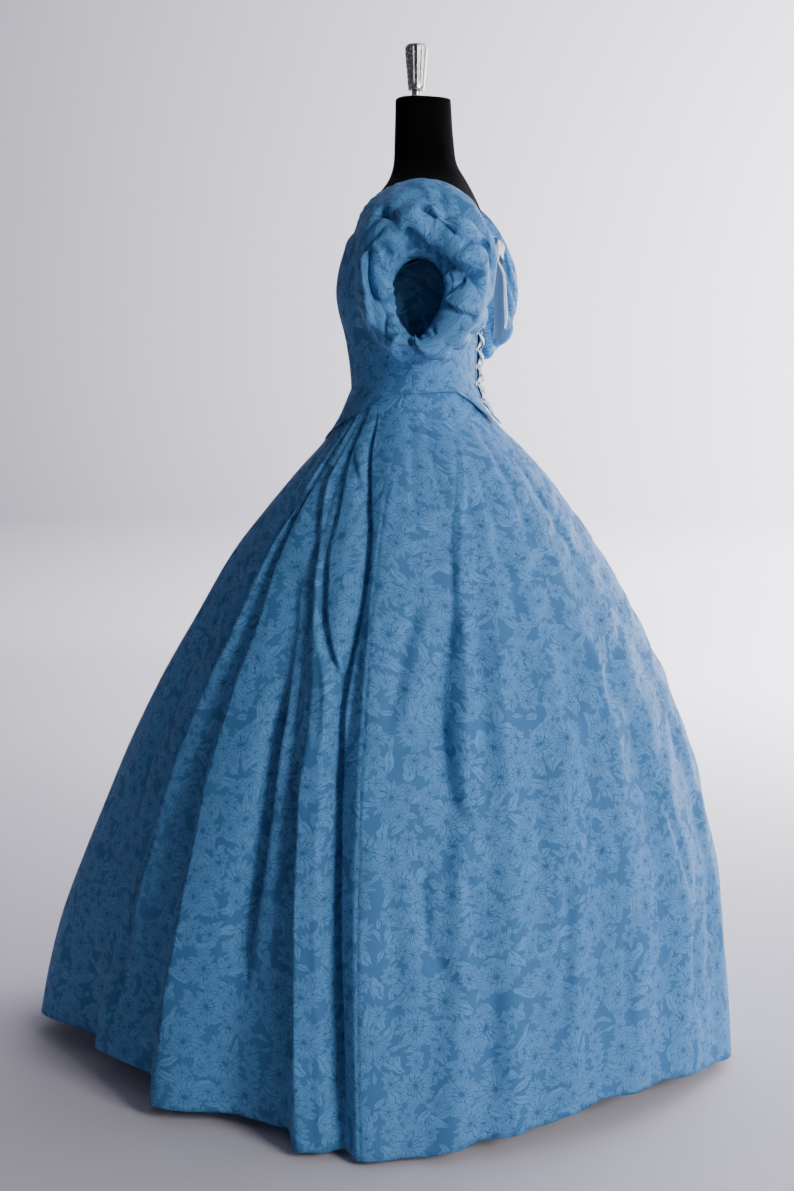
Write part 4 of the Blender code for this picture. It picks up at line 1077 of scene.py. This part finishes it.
def add_light(name, place, aim, size, power, tint):
    """Soft square light that looks at a point."""
    lamp = bpy.data.lights.new(name, "AREA")
    lamp.energy, lamp.size, lamp.color = power, size, colour(tint)[:3]
    made = bpy.data.objects.new(name, lamp)
    bpy.context.scene.collection.objects.link(made)
    made.location = place
    made.rotation_euler = (Vector(aim) - Vector(place)).to_track_quat("-Z", "Y").to_euler()


def add_lights():
    """Weak light from all round, a large window behind the gown's left, and one on the wall."""
    world = bpy.data.worlds.new("studio")
    bpy.context.scene.world = world
    world.use_nodes = True
    fill(world.node_tree, world.node_tree.nodes["Background"],
         {"Color": colour("f4ebe2"), "Strength": 0.035})
    add_light("window", (3.45, 3.75, 2.6), (0.0, 0.0, 0.75), 1.5, 174, "fffaf5")
    add_light("backdrop", (-3.0, 3.4, 2.0), (-5.0, 1.8, 1.0), 2.0, 720, "fffdff")


def put(made, finish_slot, *nodes):
    """Fix a piece to the gown, in the place of the given nodes."""
    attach(made, "root")
    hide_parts(*nodes)


def main():
    """All pieces in turn, each in the place of its solids, then the stage and the lights."""
    add_camera()
    silk = gown_jacquard()
    satin = ribbon_satin()
    jersey = plain_cloth("black_cotton_jersey", "020203", 1.0, 0.0, 900.0, 0.5)
    lining = plain_cloth("blue_petersham", "41708f", 0.7, 0.2, 700.0, 0.4)
    silver = metal("polished_nickel", "c9c9c6", 0.24)
    dark = metal("powder_coated_steel", "2a2a2d", 0.5)
    for side, label in ((1, "left"), (-1, "right")):
        for part, folds, grain in (("front", FRONT_FOLDS, 62.0), ("back", BACK_FOLDS, 130.0)):
            name = f"skirt_{part}_{label}"
            put(skirt_panel(name + "_cloth", folds, side, grain, silk), "gown_cloth", name)
        put(sleeve(f"sleeve_{label}_cloth", side, silk), "gown_cloth", "sleeve_" + label)
    for made in bodice(silk):
        put(made, "gown_cloth", made.name.removesuffix("_cloth"))
    for side, name in ((1, "lace_a"), (-1, "lace_b")):
        put(lace(name + "_satin", side, satin), "ribbon_cloth", name)
    for made in bow(satin):
        put(made, "ribbon_cloth", made.name.removesuffix("_satin"))
    rings = [f"eyelet_{side}_{k + 1:02d}" for side in ("left", "right")
             for k in range(EYELET_PAIRS)]
    put(eyelets(silver), "silver_metal", *rings)
    put(form_torso(jersey), "form_jersey", "form_torso")
    put(turned("neck_cap_nickel", CAP_PROFILE, silver), "silver_metal", "form_neck_cap")
    put(turned("finial_nickel", FINIAL_PROFILE, silver, 12, 0.10), "silver_metal", "form_finial")
    for name, finish in (("skirt_waistband", lining), ("form_pole", dark), ("form_base", dark)):
        bpy.data.objects[name].material_slots[0].material = finish
    add_stage()
    add_lights()


main()
